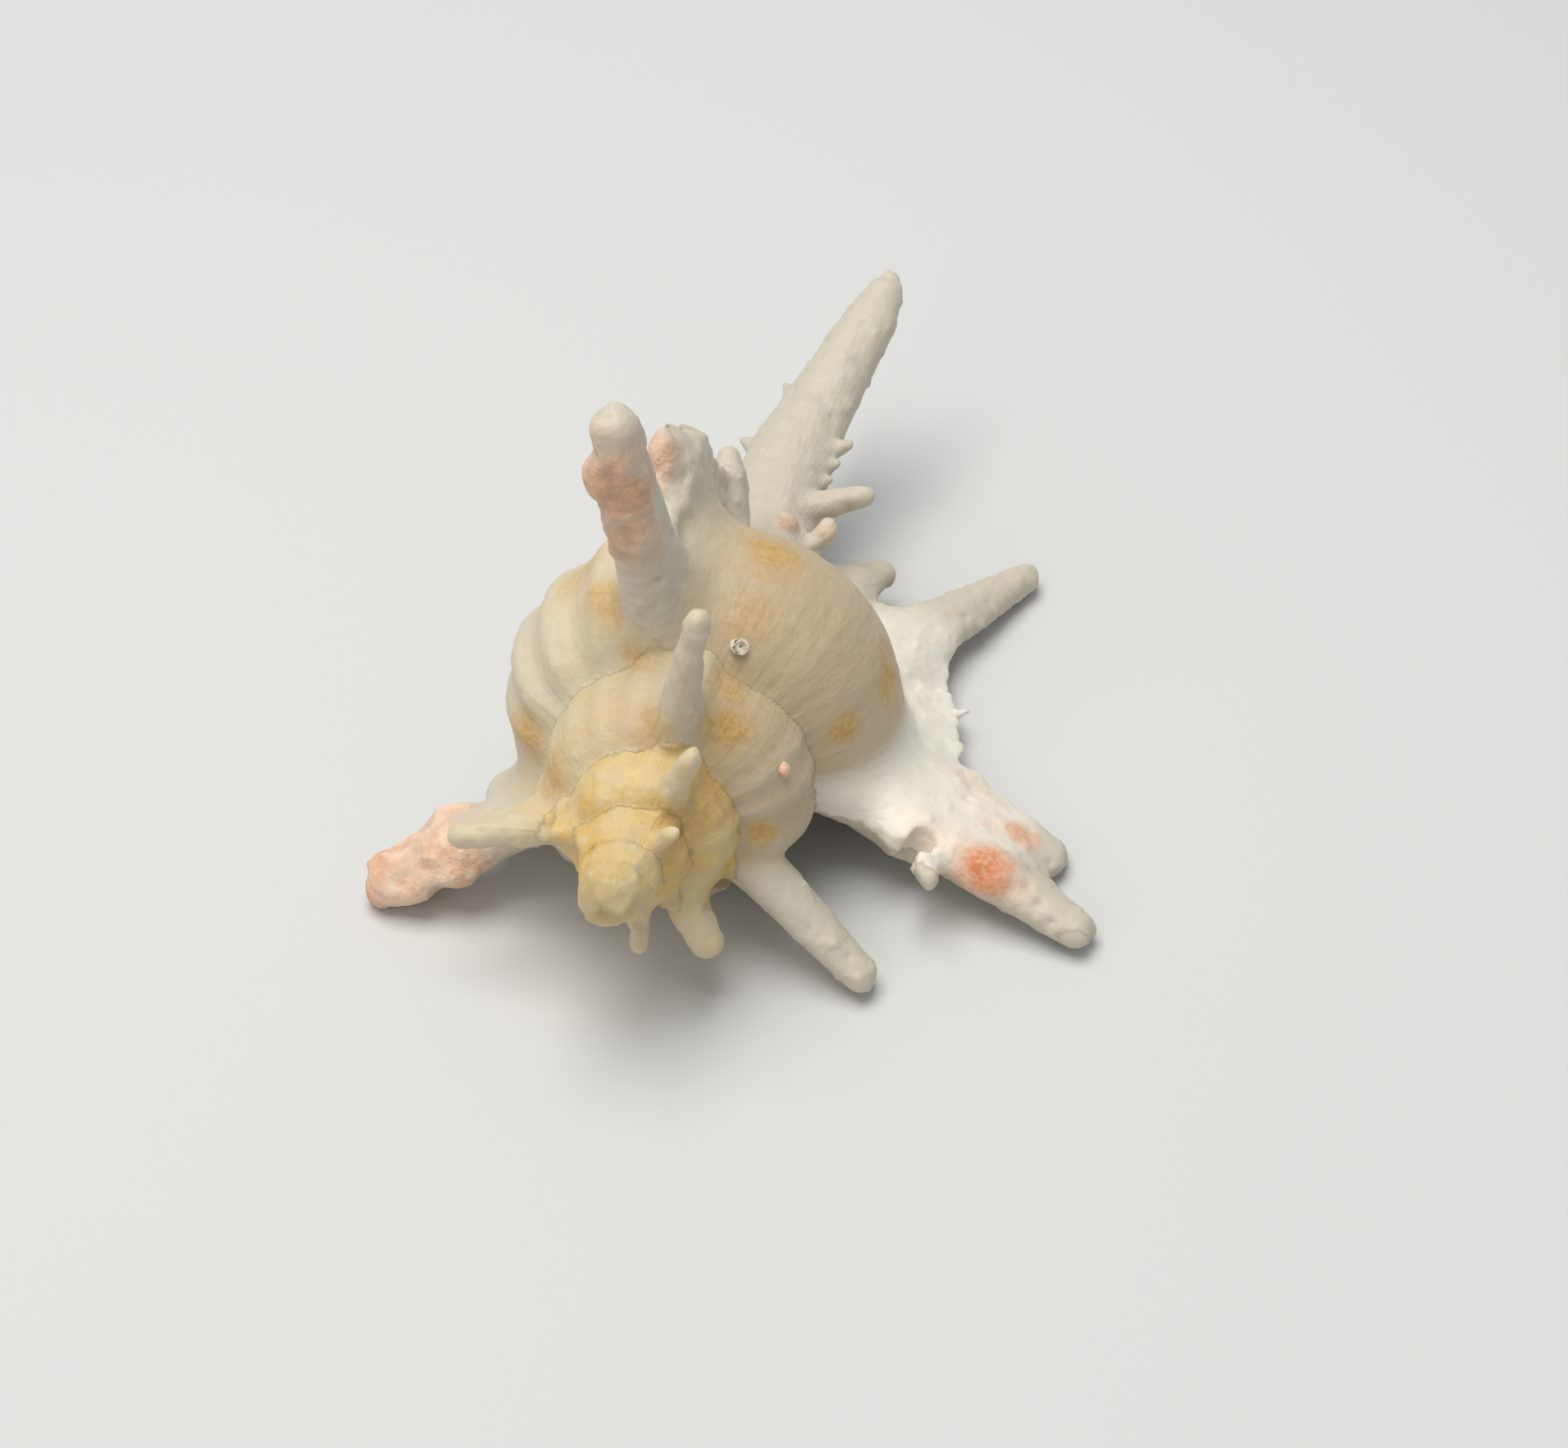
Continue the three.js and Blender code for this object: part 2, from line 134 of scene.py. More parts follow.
# small thorns on the edges of the canal and the lip: root, tip, half width at the root and the tip
THORNS = [
    ((2.2, 40.8, 3.4), (6.4, 41.9, 4.3), 1.15, 0.72),
    ((2.4, 45.1, 5.2), (4.5, 46.1, 5.7), 1.0, 0.38),
    ((2.4, 43.9, 4.6), (4.0, 44.6, 5.0), 0.8, 0.35),
    ((2.5, 42.8, 4.0), (3.8, 43.3, 4.5), 0.7, 0.3),
    ((-1.4, 45.2, 5.2), (-2.7, 46.0, 5.4), 0.7, 0.3),
    ((-0.2, 50.0, 6.9), (-0.9, 51.0, 7.2), 0.6, 0.25),
    ((1.4, 38.0, 3.0), (1.6, 39.4, 4.4), 0.7, 0.5),
    ((3.4, 37.6, 2.0), (4.6, 38.8, 3.4), 0.8, 0.55),
    ((13.6, 32.1, -5.9), (15.1, 32.6, -5.6), 0.55, 0.12),
]

# the solid middle and the blunt dome of the apex: height along the axis, radius
COLUMELLA = [(1.5, 1.9), (3.0, 2.3), (4.6, 2.6), (8.0, 1.4), (14.0, 1.4), (36.0, 2.9)]

# how the shell lies: turned about X, then about Y, with the axis's start at this place, in mm
REST_PITCH = math.radians(-10.2)
REST_ROLL = math.radians(-3)
AXIS_START = (-4.2415, -29.5898, 12.5727)

# ---- the grid that the distance field is worked out on, and the outlines' own grid
VOXEL = 0.2
MOST_TRIANGLES = 190000
FIELD_LOW = (-20.5, -1.6, -14.5)
FIELD_HIGH = (28, 60, 28)
FAR = 9.0
FARTHEST = 1e9
TINY = 1e-9
TINIER = 1e-12
OUTLINE_LOW = (-1, 10)
OUTLINE_HIGH = (30, 50)
OUTLINE_CELL = 0.1
OUTLINE_STEPS = 8
BEHIND_AXIS = -6

# ---- relief, in mm at the size of the lip
# the heights on a turn where the varices and the ribs start, are whole, begin to fade and end
VARIX_SPAN = (16.3, 19.0, 29.0, 38.0)
RIB_SPAN = (15.4, 17.5, 25, 31)
# the ribs: place between two varices, share of the height
RIBS = [(0.2, 1.0), (0.39, 0.8), (0.54, 1.0), (0.68, 0.6)]
RIB_WIDTH = math.radians(7)
# growth angles, and the height of the ribs there
RIB_HEIGHTS = [
    (-1.1 * TURN, -0.8 * TURN, -VARIX_STEP - 0.2, -VARIX_STEP + 0.2), (0.45, 1.0, 1.0, 0.12),
]
TURN_REACH = 17.5
TURN_LENGTH = 40.5
SUTURE_FILLET = 0.55
COLUMELLA_FILLET = 0.3
COLUMELLA_ROOM = ((-4, -2, -4), (4, 37, 4))
CANAL_FILLET = 1.4

# the lip's edge and how far past it the last turn is worked out
LIP_EDGE = 0.2
LIP_ROUNDING = 0.4
LIP_REACH = math.radians(14)
LIP_FACING = 3 * LIP_REACH

# the chamber: its middle, how far it is cut past the lip, and how it narrows at its inner end
LUMEN_CENTRE = (7.4, 25.5)
LUMEN_MOUTH = math.radians(14)
LUMEN_END = 0.25
LUMEN_WIDENING = 5
LUMEN_ROUNDING = 0.35
# how sharply the chamber closes past its end, and the box that holds it
LUMEN_STOP = 72
LUMEN_ROOM = ((-14, 8, -14), (14, 36, 14))
TOOTH = 0.28
TOOTH_PITCH = 1.9
TEETH_GROWTH = (math.radians(-16), math.radians(-5))
TEETH_RADII = (5.5, 8)
SLIT_ROUNDING = 0.3

# spines: each runs on under the wall, and its sides are finely notched
SPINE_FILLET = 1.9
LEAST_FILLET = 0.15
BURIED_ROOT = 3.5
TIP_ROUNDING = 0.9
SERRATION = 0.1
SERRATION_PITCH = 0.95
SERRATED_SHARE = (0, 0.15, 0.75, 1)
GROOVE_WIDTH = 0.45
GROOVE_FACE = 0.6
GROOVE_END = 0.8
THORN_FILLET = 0.4

# blades: half thickness at the edge and at the root, and how far in from the edge they change
BLADE_EDGE = 0.4
BLADE_ROOT = 0.85
BLADE_THICKENS = 6
BLADE_SET_BACK = 0.4
BLADE_ROUNDING = 0.5
BLADE_RIPPLE = 0.14
RIPPLE_DEPTH = 7
BLADE_FLUTE = 2.4
BLADE_FILLET = 0.7
SCALLOP = 0.22
SCALLOP_PITCH = 0.95
# bays and notches in the edge of the lip's blade: x, y, z, radius
NOTCHES = [(13.2, 15.2, -5.6, 1.7), (14.6, 17.0, -6.1, 0.9), (15.9, 28.0, -6.7, 0.8)]
NOTCH_ROUNDING = 0.2
NOTCH_RUN = (1, 2)

# ---- what has grown or stained on it, in the shell's own frame
# patches of crust: x, y, z, radius, how thick it is, how well it covers
CRUSTS = [
    (-2.4, 11.5, 23.4, 2.6, 0.1, 0.35), (-1.6, 12.0, 20.1, 3.4, 0.35, 0.85),
    (-1.6, 12.7, 16.8, 3.0, 0.2, 0.75), (-3.4, 12.0, 20.6, 1.9, 0.5, 0.7),
    (-2.4, 20.8, 17.4, 2.8, 0.2, 0.7),
    (19.1, 17.2, -6.2, 3.0, 0.3, 0.95), (20.6, 16.6, -7.2, 2.2, 0.1, 0.45),
    (20.3, 21.4, -6.9, 1.6, 0.1, 0.7), (17.0, 24.6, -6.0, 3.0, 0.05, 0.42),
    (18.8, 21.0, -6.6, 3.0, 0.05, 0.4), (15.6, 17.6, -5.4, 2.2, 0.05, 0.4),
    (-20.2, 11.6, -9.2, 4.4, 0.15, 1.0), (-16.5, 12.4, -6.8, 4.2, 0.4, 1.0),
    (-13.0, 11.5, -5.9, 3.4, 0.4, 1.0), (-13.8, 13.6, -4.6, 2.2, 0.7, 0.9),
    (-15.4, 9.4, -8.0, 2.2, 0.7, 1.0), (-12.2, 9.8, -7.4, 1.8, 0.8, 0.9), (-19.0, 9.6, -9.6, 3.0, 0.2, 1.0),
    (2.2, 37.8, 4.2, 0.9, 0.7, 0.9), (4.6, 38.7, 3.2, 1.0, 0.4, 0.9),
]
# darker spots of the crust: x, y, z, radius, strength
RUSTS = [
    (19.1, 17.2, -6.2, 2.5, 0.95), (20.3, 21.4, -6.9, 1.3, 0.5), (-15.2, 10.3, -6.8, 1.3, 0.2),
    (-18.2, 10.7, -8.2, 1.6, 0.3), (-1.3, 22.4, 17.2, 1.5, 0.4),
]
# duller, brownish patches of the crust: x, y, z, radius, strength
DULLS = [(-1.4, 12.0, 20.0, 5.0, 1.0), (-1.2, 12.6, 16.6, 3.0, 1.0)]
# yellow-brown stains: x, y, z, radius, strength
STAINS = [
    (4.8, 22.4, 10.8, 2.2, 0.75), (4.9, 17.5, 9.5, 1.8, 0.4), (-3.4, 16.2, 9.9, 1.9, 0.7),
    (-5.7, 19.7, 9.9, 2.0, 0.55), (-0.8, 14.1, 7.8, 1.9, 0.7), (-8.4, 14.1, 2.0, 1.9, 0.9),
    (10.1, 18.0, 2.0, 1.2, 0.8), (11.8, 23.3, 2.1, 2.2, 0.9), (4.6, 11.2, 5.4, 1.8, 0.95),
    (1.0, 9.3, 6.7, 1.4, 0.6), (4.3, 13.7, 6.7, 1.5, 0.6), (6.4, 11.0, -1.4, 1.3, 0.8),
    (-5.5, 9.6, 2.3, 1.8, 0.65), (-2.7, 5.8, 2.3, 1.2, 0.5), (-0.6, -0.2, 1.2, 1.1, 0.5),
    (2.6, 5.6, 2.6, 1.7, 0.8), (3.4, 8.2, 2.2, 2.0, 0.85),
]

CRUST_PATCHES = [(x, y, z, size, cover) for x, y, z, size, _, cover in CRUSTS]

# a patch is whole within this share of its radius and gone beyond that one
PATCH_WHOLE = 0.1
PATCH_EDGE = 1.4
PATCH_WOBBLE = 1.8
CRUST_RAGGED = 0.25
STAIN_RAGGED = 0.35
RUST_RAGGED = 0.4
DULL_RAGGED = 0.3

# the crust swells the wall: an even film, and lumps of this size on it
CRUST_WHOLE = 0.4
CRUST_EDGE = 1.05
CRUST_FILM = 0.8
CRUST_LUMPS = 0.5
CRUST_LUMP_SIZE = 1.6
CRUST_REACH = 1.5

# ---- fine relief, in mm at the size of the lip
CORD_PITCH = 1.55
CORD_HEIGHT = 0.022
LINE_STEP = math.radians(1.1)
LINE_HEIGHT = 0.02
LINE_SHARE = 0.6
LINE_PATCH = 2.5
GRANULE_PITCH = 1.5
GRANULE_STEP = math.radians(2.2)
GRANULE_HEIGHT = 0.08
CRUST_GRAIN = 0.12
CRUST_GRAIN_SIZE = 1.1
WALL_GRAIN = 0.025
OLD_GRAIN = 0.07
WALL_GRAIN_SIZE = 0.8
KNOB_HEIGHT = 0.22
KNOB_SIZE = 0.8
BEAD_LUMPS = 0.22
BEAD_LUMP_SIZE = 0.9
BEAD_SQUAT = 0.8
BEAD_RISE = 0.25
BEAD_SPREAD = 0.25
# how far off a turn's outline the relief of the turn fades, and the knobs of a spine begin
TURN_FADE = (0.4, 1.6)
SPINE_START = (0.5, 2.0)
# the growth between which the shell turns old and granular
GRANULES_START = (-0.9 * TURN, -1.1 * TURN)
OLD_START = (-1.1 * TURN, -2.2 * TURN)

# ---- a worm's tube and a bead of crust that sit on it
WORM_PLACE = (4.1, 15.8, 8.2)
WORM_RISES = (-0.3, 0.0, 0.2, 0.38, 0.5)
WORM_SIZE = 0.5
BEAD_PLACE = (7.4, 12.4, 2.1)
BEAD_SIZE = 0.42

# the wall is thinnest on this side, turned back from the lip: it is painted browner there, partly its own
# brown tone and partly painted shade
PAINTED_SHADE_BACK = math.radians(50)
LIP_WHITENESS = math.radians(22)

# ---- colours, as linear red, green and blue
WALL_PALE = (0.61, 0.555, 0.42, 1)
WALL_GREY = (0.60, 0.53, 0.39, 1)
WALL_WARM = (0.62, 0.50, 0.33, 1)
# the thin wall's own brown, which also stands in for painted shade on the side turned back from the lip
WALL_BROWN_AND_SHADE = (0.50, 0.38, 0.24, 1)
TIP_WHITE = (0.565, 0.52, 0.42, 1)
LIP_WHITE = (0.79, 0.755, 0.655, 1)
SPIRE_STRAW = (0.66, 0.50, 0.21, 1)
SPIRE_YELLOW = (0.66, 0.43, 0.10, 1)
STAIN_TAN = (0.50, 0.30, 0.08, 1)
STAIN_GOLD = (0.60, 0.39, 0.13, 1)
CHAMBER_CREAM = (0.78, 0.69, 0.55, 1)
CRUST_PINK = (0.70, 0.43, 0.29, 1)
CRUST_PALE = (0.78, 0.57, 0.43, 1)
CRUST_DULL = (0.55, 0.34, 0.24, 1)
CRUST_RED = (0.62, 0.21, 0.075, 1)
WORM_LIME = (0.86, 0.78, 0.60, 1)
WORM_SHADE = (0.70, 0.58, 0.38, 1)
FLOOR_GREY = (0.62, 0.62, 0.61, 1)

# ---- stage, in metres
CAMERA_PLACE = (0.03462, -0.15087, 0.14732)
CAMERA_AIM = (0.00179, -0.00968, 0.00953)
CAMERA_ROLL = math.radians(-1.0)
LENS = 75.3
WORLD_TINT = (0.93, 0.96, 1.0, 1)
WORLD_STRENGTH = 0.4
# lights: name, place, aim, size, watts, tint
LIGHTS = [
    ("overhead", (-0.07, 0.0, 0.45), (0, 0, 0.015), (0.35, 0.3), 1.95, (1.0, 0.98, 0.95)),
    ("front", (-0.2, -0.45, 0.3), (0, 0, 0.015), (0.35, 0.3), 0.38, (1.0, 0.96, 0.9)),
]


# ---- small helpers
def smoothstep(low, high, x):
    t = np.clip((x - low) / (high - low), 0, 1)
    return t * t * (3 - 2 * t)


def plateau(start, whole, fading, end, x):
    return smoothstep(start, whole, x) * (1 - smoothstep(fading, end, x))


def blend_min(a, b, k):
    """The union of two distance fields, filleted over k."""
    h = np.clip(0.5 + 0.5 * (b - a) / k, 0, 1)
    return b + (a - b) * h - k * h * (1 - h)


def blend_max(a, b, k):
    return -blend_min(-a, -b, k)


def curve_through(points, steps, closed):
    """Catmull-Rom points through a list of points."""
    points = np.array(points, float)
    count = len(points)
    out = []
    for i in range(count if closed else count - 1):
        p1, p2 = points[i], points[(i + 1) % count]
        p0 = points[i - 1] if closed or i > 0 else 2 * p1 - p2
        p3 = points[(i + 2) % count] if closed or i < count - 2 else 2 * p2 - p1
        for step in range(steps):
            t = step / steps
            out.append(0.5 * (2 * p1 + (p2 - p0) * t + (2 * p0 - 5 * p1 + 4 * p2 - p3) * t ** 2
                              + (3 * p1 - p0 - 3 * p2 + p3) * t ** 3))
    if not closed:
        out.append(points[-1])
    return np.array(out)


class Noise:
    """Smooth value noise from a seeded lattice, between -1 and 1."""

    def __init__(self, seed, size=32):
        self.size = size
        self.lattice = np.random.default_rng(seed).uniform(-1, 1, (size, size, size)).astype(REAL)

    def __call__(self, points, scale):
        cell = np.asarray(points, REAL) / scale
        base = np.floor(cell).astype(int)
        t = cell - base
        t = t * t * (3 - 2 * t)
        total = np.zeros(len(cell), REAL)
        for corner in range(8):
            shift = np.array([corner & 1, corner >> 1 & 1, corner >> 2 & 1])
            weight = np.prod(np.where(shift, t, 1 - t), axis=1)
            i, j, k = ((base + shift) % self.size).T
            total += weight * self.lattice[i, j, k]
        return total

    def rough(self, points, scale, octaves=3):
        return sum(self(points, scale / 2 ** o) / 2 ** o for o in range(octaves))


# ---- growth
def scale_at(growth):
    return GROWTH ** (growth / TURN)


def drawn_in(growth):
    return 1 - LIP_CONTRACTION * smoothstep(CONTRACTION_START, 0, growth)


def varix_frame(varix):
    """The directions out from the axis and along growth at a varix, and its scale."""
    angle = LIP_ANGLE - varix * VARIX_STEP
    out = np.array([math.sin(angle), 0, math.cos(angle)])
    forward = np.array([math.cos(angle), 0, -math.sin(angle)])
    return out, forward, scale_at(-varix * VARIX_STEP)


def grown(varix, place):
    out, forward, scale = varix_frame(varix)
    radius, height, lean = place
    return scale * (radius * out + lean * forward + np.array([0, height, 0]))


class Outline:
    """A flat outline as a grid of signed distances, with the arc length of its nearest point."""

    def __init__(self, points, closed):
        line = curve_through(points, OUTLINE_STEPS, closed)
        if not closed:
            line = np.vstack([line, [BEHIND_AXIS, points[-1][1]], [BEHIND_AXIS, points[0][1]]])
        ends = np.roll(line, -1, 0)
        lengths = np.hypot(*(ends - line).T)
        arcs = np.concatenate([[0], np.cumsum(lengths)[:-1]])
        self.size = [int((OUTLINE_HIGH[i] - OUTLINE_LOW[i]) / OUTLINE_CELL) + 1 for i in (0, 1)]
        r, h = np.meshgrid(*(OUTLINE_LOW[i] + OUTLINE_CELL * np.arange(self.size[i]) for i in (0, 1)),
                           indexing="ij")
        nearest = np.full(r.shape, FARTHEST)
        arc_there = np.zeros(r.shape)
        inside = np.zeros(r.shape, bool)
        for start, end, length, arc in zip(line, ends, lengths, arcs):
            dr, dh = end - start
            t = np.clip(((r - start[0]) * dr + (h - start[1]) * dh) / (length ** 2 + TINIER), 0, 1)
            distance = (r - start[0] - t * dr) ** 2 + (h - start[1] - t * dh) ** 2
            closer = distance < nearest
            nearest = np.where(closer, distance, nearest)
            arc_there = np.where(closer, arc + t * length, arc_there)
            crossing = (start[1] > h) != (end[1] > h)
            inside ^= crossing & (r < start[0] + (h - start[1]) / (dh if dh else TINY) * dr)
        self.distances = (np.sqrt(nearest) * np.where(inside, -1, 1)).astype(REAL)
        self.arcs = arc_there.astype(REAL)

    def __call__(self, r, h):
        """The signed distance (negative inside) and the arc length at these places."""
        u = (r - OUTLINE_LOW[0]) / OUTLINE_CELL
        v = (h - OUTLINE_LOW[1]) / OUTLINE_CELL
        last_cell = 1.01
        inner_u = np.clip(u, 0, self.size[0] - last_cell)
        inner_v = np.clip(v, 0, self.size[1] - last_cell)
        i, j = inner_u.astype(np.int32), inner_v.astype(np.int32)
        fu, fv = inner_u - i, inner_v - j
        d = self.distances
        near = ((d[i, j] * (1 - fu) + d[i + 1, j] * fu) * (1 - fv)
                + (d[i, j + 1] * (1 - fu) + d[i + 1, j + 1] * fu) * fv)
        return near + np.hypot(u - inner_u, v - inner_v) * OUTLINE_CELL, self.arcs[i, j]


turn_outline = Outline(TURN_OUTLINE, closed=False)
lumen_outline = Outline(LUMEN_OUTLINE, closed=True)


# ---- the distance field
class Field:
    """Signed distances on a grid, negative in the shell."""

    def __init__(self, low, high, step):
        self.low = np.array(low, float)
        self.step = step
        size = np.ceil((np.array(high) - self.low) / step).astype(int) + 1
        self.values = np.full(size, FAR, REAL)

    def change(self, low, high, shape):
        """Replaces the values between two corners by shape(values, x, y, z)."""
        first = np.floor((np.array(low) - self.low) / self.step).astype(int)
        last = np.ceil((np.array(high) - self.low) / self.step).astype(int) + 1
        first = np.clip(first, 0, self.values.shape)
        last = np.clip(last, 0, self.values.shape)
        axes = [(self.low[i] + self.step * np.arange(first[i], last[i])).astype(REAL) for i in range(3)]
        x, y, z = np.meshgrid(*axes, indexing="ij")
        part = tuple(slice(a, b) for a, b in zip(first, last))
        self.values[part] = shape(self.values[part], x, y, z)

    def skin(self):
        """The surface as points and four-sided faces."""
        volume = openvdb.FloatGrid(FAR)
        volume.copyFromArray(self.values)
        points, quads = volume.convertToQuads(isovalue=0.0)
        return points * self.step + self.low, quads


def relief(growth, height):
    """How far the varices and the ribs between them stand over the plain turn."""
    nearest = np.round(growth / VARIX_STEP) * VARIX_STEP
    past = growth - nearest
    swelling = VARIX_SWELLING * np.exp(-(past / np.where(past > 0, VARIX_FRONT, VARIX_BACK)) ** 2)
    start, whole, fading, end = VARIX_SPAN
    raised = swelling * smoothstep(start, whole, height) * (1 - smoothstep(fading, end, height))
    on_ribs = plateau(*RIB_SPAN, height)
    rib_height = np.interp(growth, *RIB_HEIGHTS)
    between = np.mod(-growth / VARIX_STEP, 1)
    for place, share in RIBS:
        off = (between - place) * VARIX_STEP / RIB_WIDTH
        raised += share * rib_height * np.exp(-off ** 2) * on_ribs
    return raised


def around_axis(x, z):
    """The distance from the axis, and how far back a place is turned from the lip."""
    return np.sqrt(x * x + z * z), np.mod(LIP_ANGLE - np.arctan2(x, z), TURN)


def add_turns(field):
    for turn in range(-1, TURNS):
        oldest = scale_at(-max(turn, 0) * TURN)

        def joined(values, x, y, z):
            radius, back = around_axis(x, z)
            growth = -back - turn * TURN
            if turn < 0:
                growth = np.minimum(growth, LIP_REACH)
            scale = scale_at(growth)
            height = y / scale
            distance, _ = turn_outline(radius / (scale * drawn_in(growth)), height)
            distance = scale * (distance - relief(growth, height))
            if turn < 1:
                past_lip = radius * np.sin(-back) - LIP_EDGE
                facing = np.cos(back) > math.cos(LIP_FACING)
                distance = blend_max(distance, np.where(facing, past_lip, -FAR), LIP_ROUNDING)
                if turn < 0:
                    distance = np.where(TURN - back < LIP_REACH, distance, FAR)
            return blend_min(values, distance, SUTURE_FILLET * oldest)

        reach = TURN_REACH * oldest
        field.change((-reach, -1, -reach), (reach, TURN_LENGTH * oldest, reach), joined)


def add_columella(field):
    heights, radii = zip(*COLUMELLA)

    def joined(values, x, y, z):
        inner = np.clip(y, heights[0], heights[-1])
        distance = np.sqrt(x * x + z * z + (y - inner) ** 2) - np.interp(inner, heights, radii)
        return blend_min(values, distance.astype(REAL), COLUMELLA_FILLET)

    field.change(*COLUMELLA_ROOM, joined)


def add_tube(field, stations, across, fillet, cut=False):
    """Joins, or cuts away, an oval tube through stations of x, y, z, half width, half thickness."""
    stations = np.array(stations, float)
    margin = stations[:, 3:].max() + 2
    line = stations[:, :3]

    def joined(values, x, y, z):
        nearest = np.full(values.shape, FAR, REAL)
        for (start, end), (first, last) in zip(zip(line, line[1:]), zip(stations[:, 3:], stations[1:, 3:])):
            length = np.linalg.norm(end - start)
            along = (end - start) / length
            wide = across - along * (across @ along)
            wide /= np.linalg.norm(wide)
            thick = np.cross(along, wide)
            px, py, pz = x - REAL(start[0]), y - REAL(start[1]), z - REAL(start[2])
            position, w, t = (px * REAL(d[0]) + py * REAL(d[1]) + pz * REAL(d[2])
                              for d in (along, wide, thick))
            share = np.clip(position / length, 0, 1)
            half_width = first[0] + (last[0] - first[0]) * share
            half_thickness = first[1] + (last[1] - first[1]) * share
            reach = np.sqrt(w * w + t * t + TINY)
            limb = reach / np.sqrt((w / half_width) ** 2 + (t / half_thickness) ** 2 + TINY)
            nearest = np.minimum(nearest, np.hypot(position - share * length, reach) - limb)
        if cut:
            return blend_max(values, -nearest, fillet)
        return blend_min(values, nearest, fillet)

    field.change(line.min(0) - margin, line.max(0) + margin, joined)


def add_spine(field, varix, root, tip, widths, thicknesses, groove):
    _, forward, scale = varix_frame(varix)
    start, end = grown(varix, root), grown(varix, tip)
    length = np.linalg.norm(end - start)
    along = (end - start) / length
    through = forward - along * (forward @ along)
    through /= np.linalg.norm(through)
    across = np.cross(through, along)
    length -= thicknesses[1] * scale * TIP_ROUNDING
    # a root that ran on under the lip would stand in the aperture
    buried = -BURIED_ROOT * scale if varix else 0
    margin = max(widths) * scale + 2

    def joined(values, x, y, z):
        px, py, pz = x - REAL(start[0]), y - REAL(start[1]), z - REAL(start[2])
        position, w, t = (px * REAL(d[0]) + py * REAL(d[1]) + pz * REAL(d[2])
                          for d in (along, across, through))
        share = np.clip(position / length, 0, 1)
        notches = np.abs(np.sin(math.pi * position / (SERRATION_PITCH * scale)))
        edge = SERRATION * notches * plateau(*SERRATED_SHARE, share)
        half_width = scale * (widths[0] + (widths[1] - widths[0]) * share + edge)
        half_thickness = scale * (thicknesses[0] + (thicknesses[1] - thicknesses[0]) * share)
        reach = np.sqrt(w * w + t * t + TINY)
        limb = reach / np.sqrt((w / half_width) ** 2 + (t / half_thickness) ** 2 + TINY)
        trough = np.exp(-(w / (GROOVE_WIDTH * half_width)) ** 2)
        hollow = groove * scale * trough * smoothstep(0, GROOVE_FACE, t / scale)
        hollow *= 1 - smoothstep(GROOVE_END, 1, share)
        distance = np.hypot(position - np.clip(position, buried, length), reach) - limb + hollow
        return blend_min(values, distance, SPINE_FILLET * scale + LEAST_FILLET)

    corners = np.array([start, end])
    field.change(corners.min(0) - margin, corners.max(0) + margin, joined)


def add_blade(field, varix, points):
    """A thin plate in the plane of a varix, with a scalloped edge."""
    out, forward, scale = varix_frame(varix)
    outline = Outline(points, closed=True)
    corners = np.array([grown(varix, (r, h, 0)) for r, h in points])

    def joined(values, x, y, z):
        radius = (x * REAL(out[0]) + z * REAL(out[2])) / scale
        along = (x * REAL(forward[0]) + z * REAL(forward[2])) / scale
        distance, arc = outline(radius, y / scale)
        distance += SCALLOP * (1 - np.abs(np.sin(math.pi * arc / SCALLOP_PITCH)))
        half = BLADE_EDGE + (BLADE_ROOT - BLADE_EDGE) * smoothstep(0, -BLADE_THICKENS, distance)
        ripple = BLADE_RIPPLE * np.sin(TURN * arc / BLADE_FLUTE) * smoothstep(-RIPPLE_DEPTH, 0, distance)
        face = np.abs(along + BLADE_SET_BACK + ripple) - half
        plate = scale * blend_max(distance, face, BLADE_ROUNDING)
        return blend_min(values, plate.astype(REAL), BLADE_FILLET * scale)

    margin = 3
    field.change(corners.min(0) - margin, corners.max(0) + margin, joined)


def cut_lumen(field):
    """The living chamber, with a row of teeth inside the lip."""
    def cut(values, x, y, z):
        radius, back = around_axis(x, z)
        growth = np.where(TURN - back < LUMEN_MOUTH, TURN - back, -back)
        scale = scale_at(growth)
        share = (growth + LUMEN_DEPTH) / (LUMEN_DEPTH + LUMEN_MOUTH)
        size = np.clip(LUMEN_END + (1 - LUMEN_END) * share * LUMEN_WIDENING, LUMEN_END, 1)
        r = LUMEN_CENTRE[0] + (radius / (scale * drawn_in(growth)) - LUMEN_CENTRE[0]) / size
        h = LUMEN_CENTRE[1] + (y / scale - LUMEN_CENTRE[1]) / size
        distance, arc = lumen_outline(r, h)
        teeth = TOOTH * smoothstep(*TEETH_GROWTH, growth) * smoothstep(*TEETH_RADII, r)
        distance += teeth * np.cos(TURN * arc / TOOTH_PITCH) ** 2
        hollow = scale * size * distance + np.maximum(-share, 0) * LUMEN_STOP
        return blend_max(values, -hollow, LUMEN_ROUNDING)

    field.change(*LUMEN_ROOM, cut)


def cut_slit(field):
    """The open slit along the canal, cut the way that the aperture faces."""
    _, facing, _ = varix_frame(0)
    side = np.cross([0, 1, 0], facing)
    xs, ys, zs = zip(*SLIT)

    def cut(values, x, y, z):
        level = y[0, :, 0]
        px = x - np.interp(level, ys, xs).astype(REAL)[None, :, None]
        pz = z - np.interp(level, ys, zs).astype(REAL)[None, :, None]
        ahead = px * REAL(facing[0]) + pz * REAL(facing[2])
        aside = px * REAL(side[0]) + pz * REAL(side[2])
        distance = np.hypot(aside, np.minimum(ahead, 0)) - SLIT_HALF_WIDTH
        distance = np.maximum(distance, np.abs(y - (ys[0] + ys[-1]) / 2) - (ys[-1] - ys[0]) / 2)
        distance = np.maximum(distance, ahead - SLIT_REACH)
        return blend_max(values, -distance, SLIT_ROUNDING)

    (x_low, z_low), (x_high, z_high) = SLIT_ROOM
    field.change((x_low, ys[0] - 1, z_low), (x_high, ys[-1] + 1, z_high), cut)


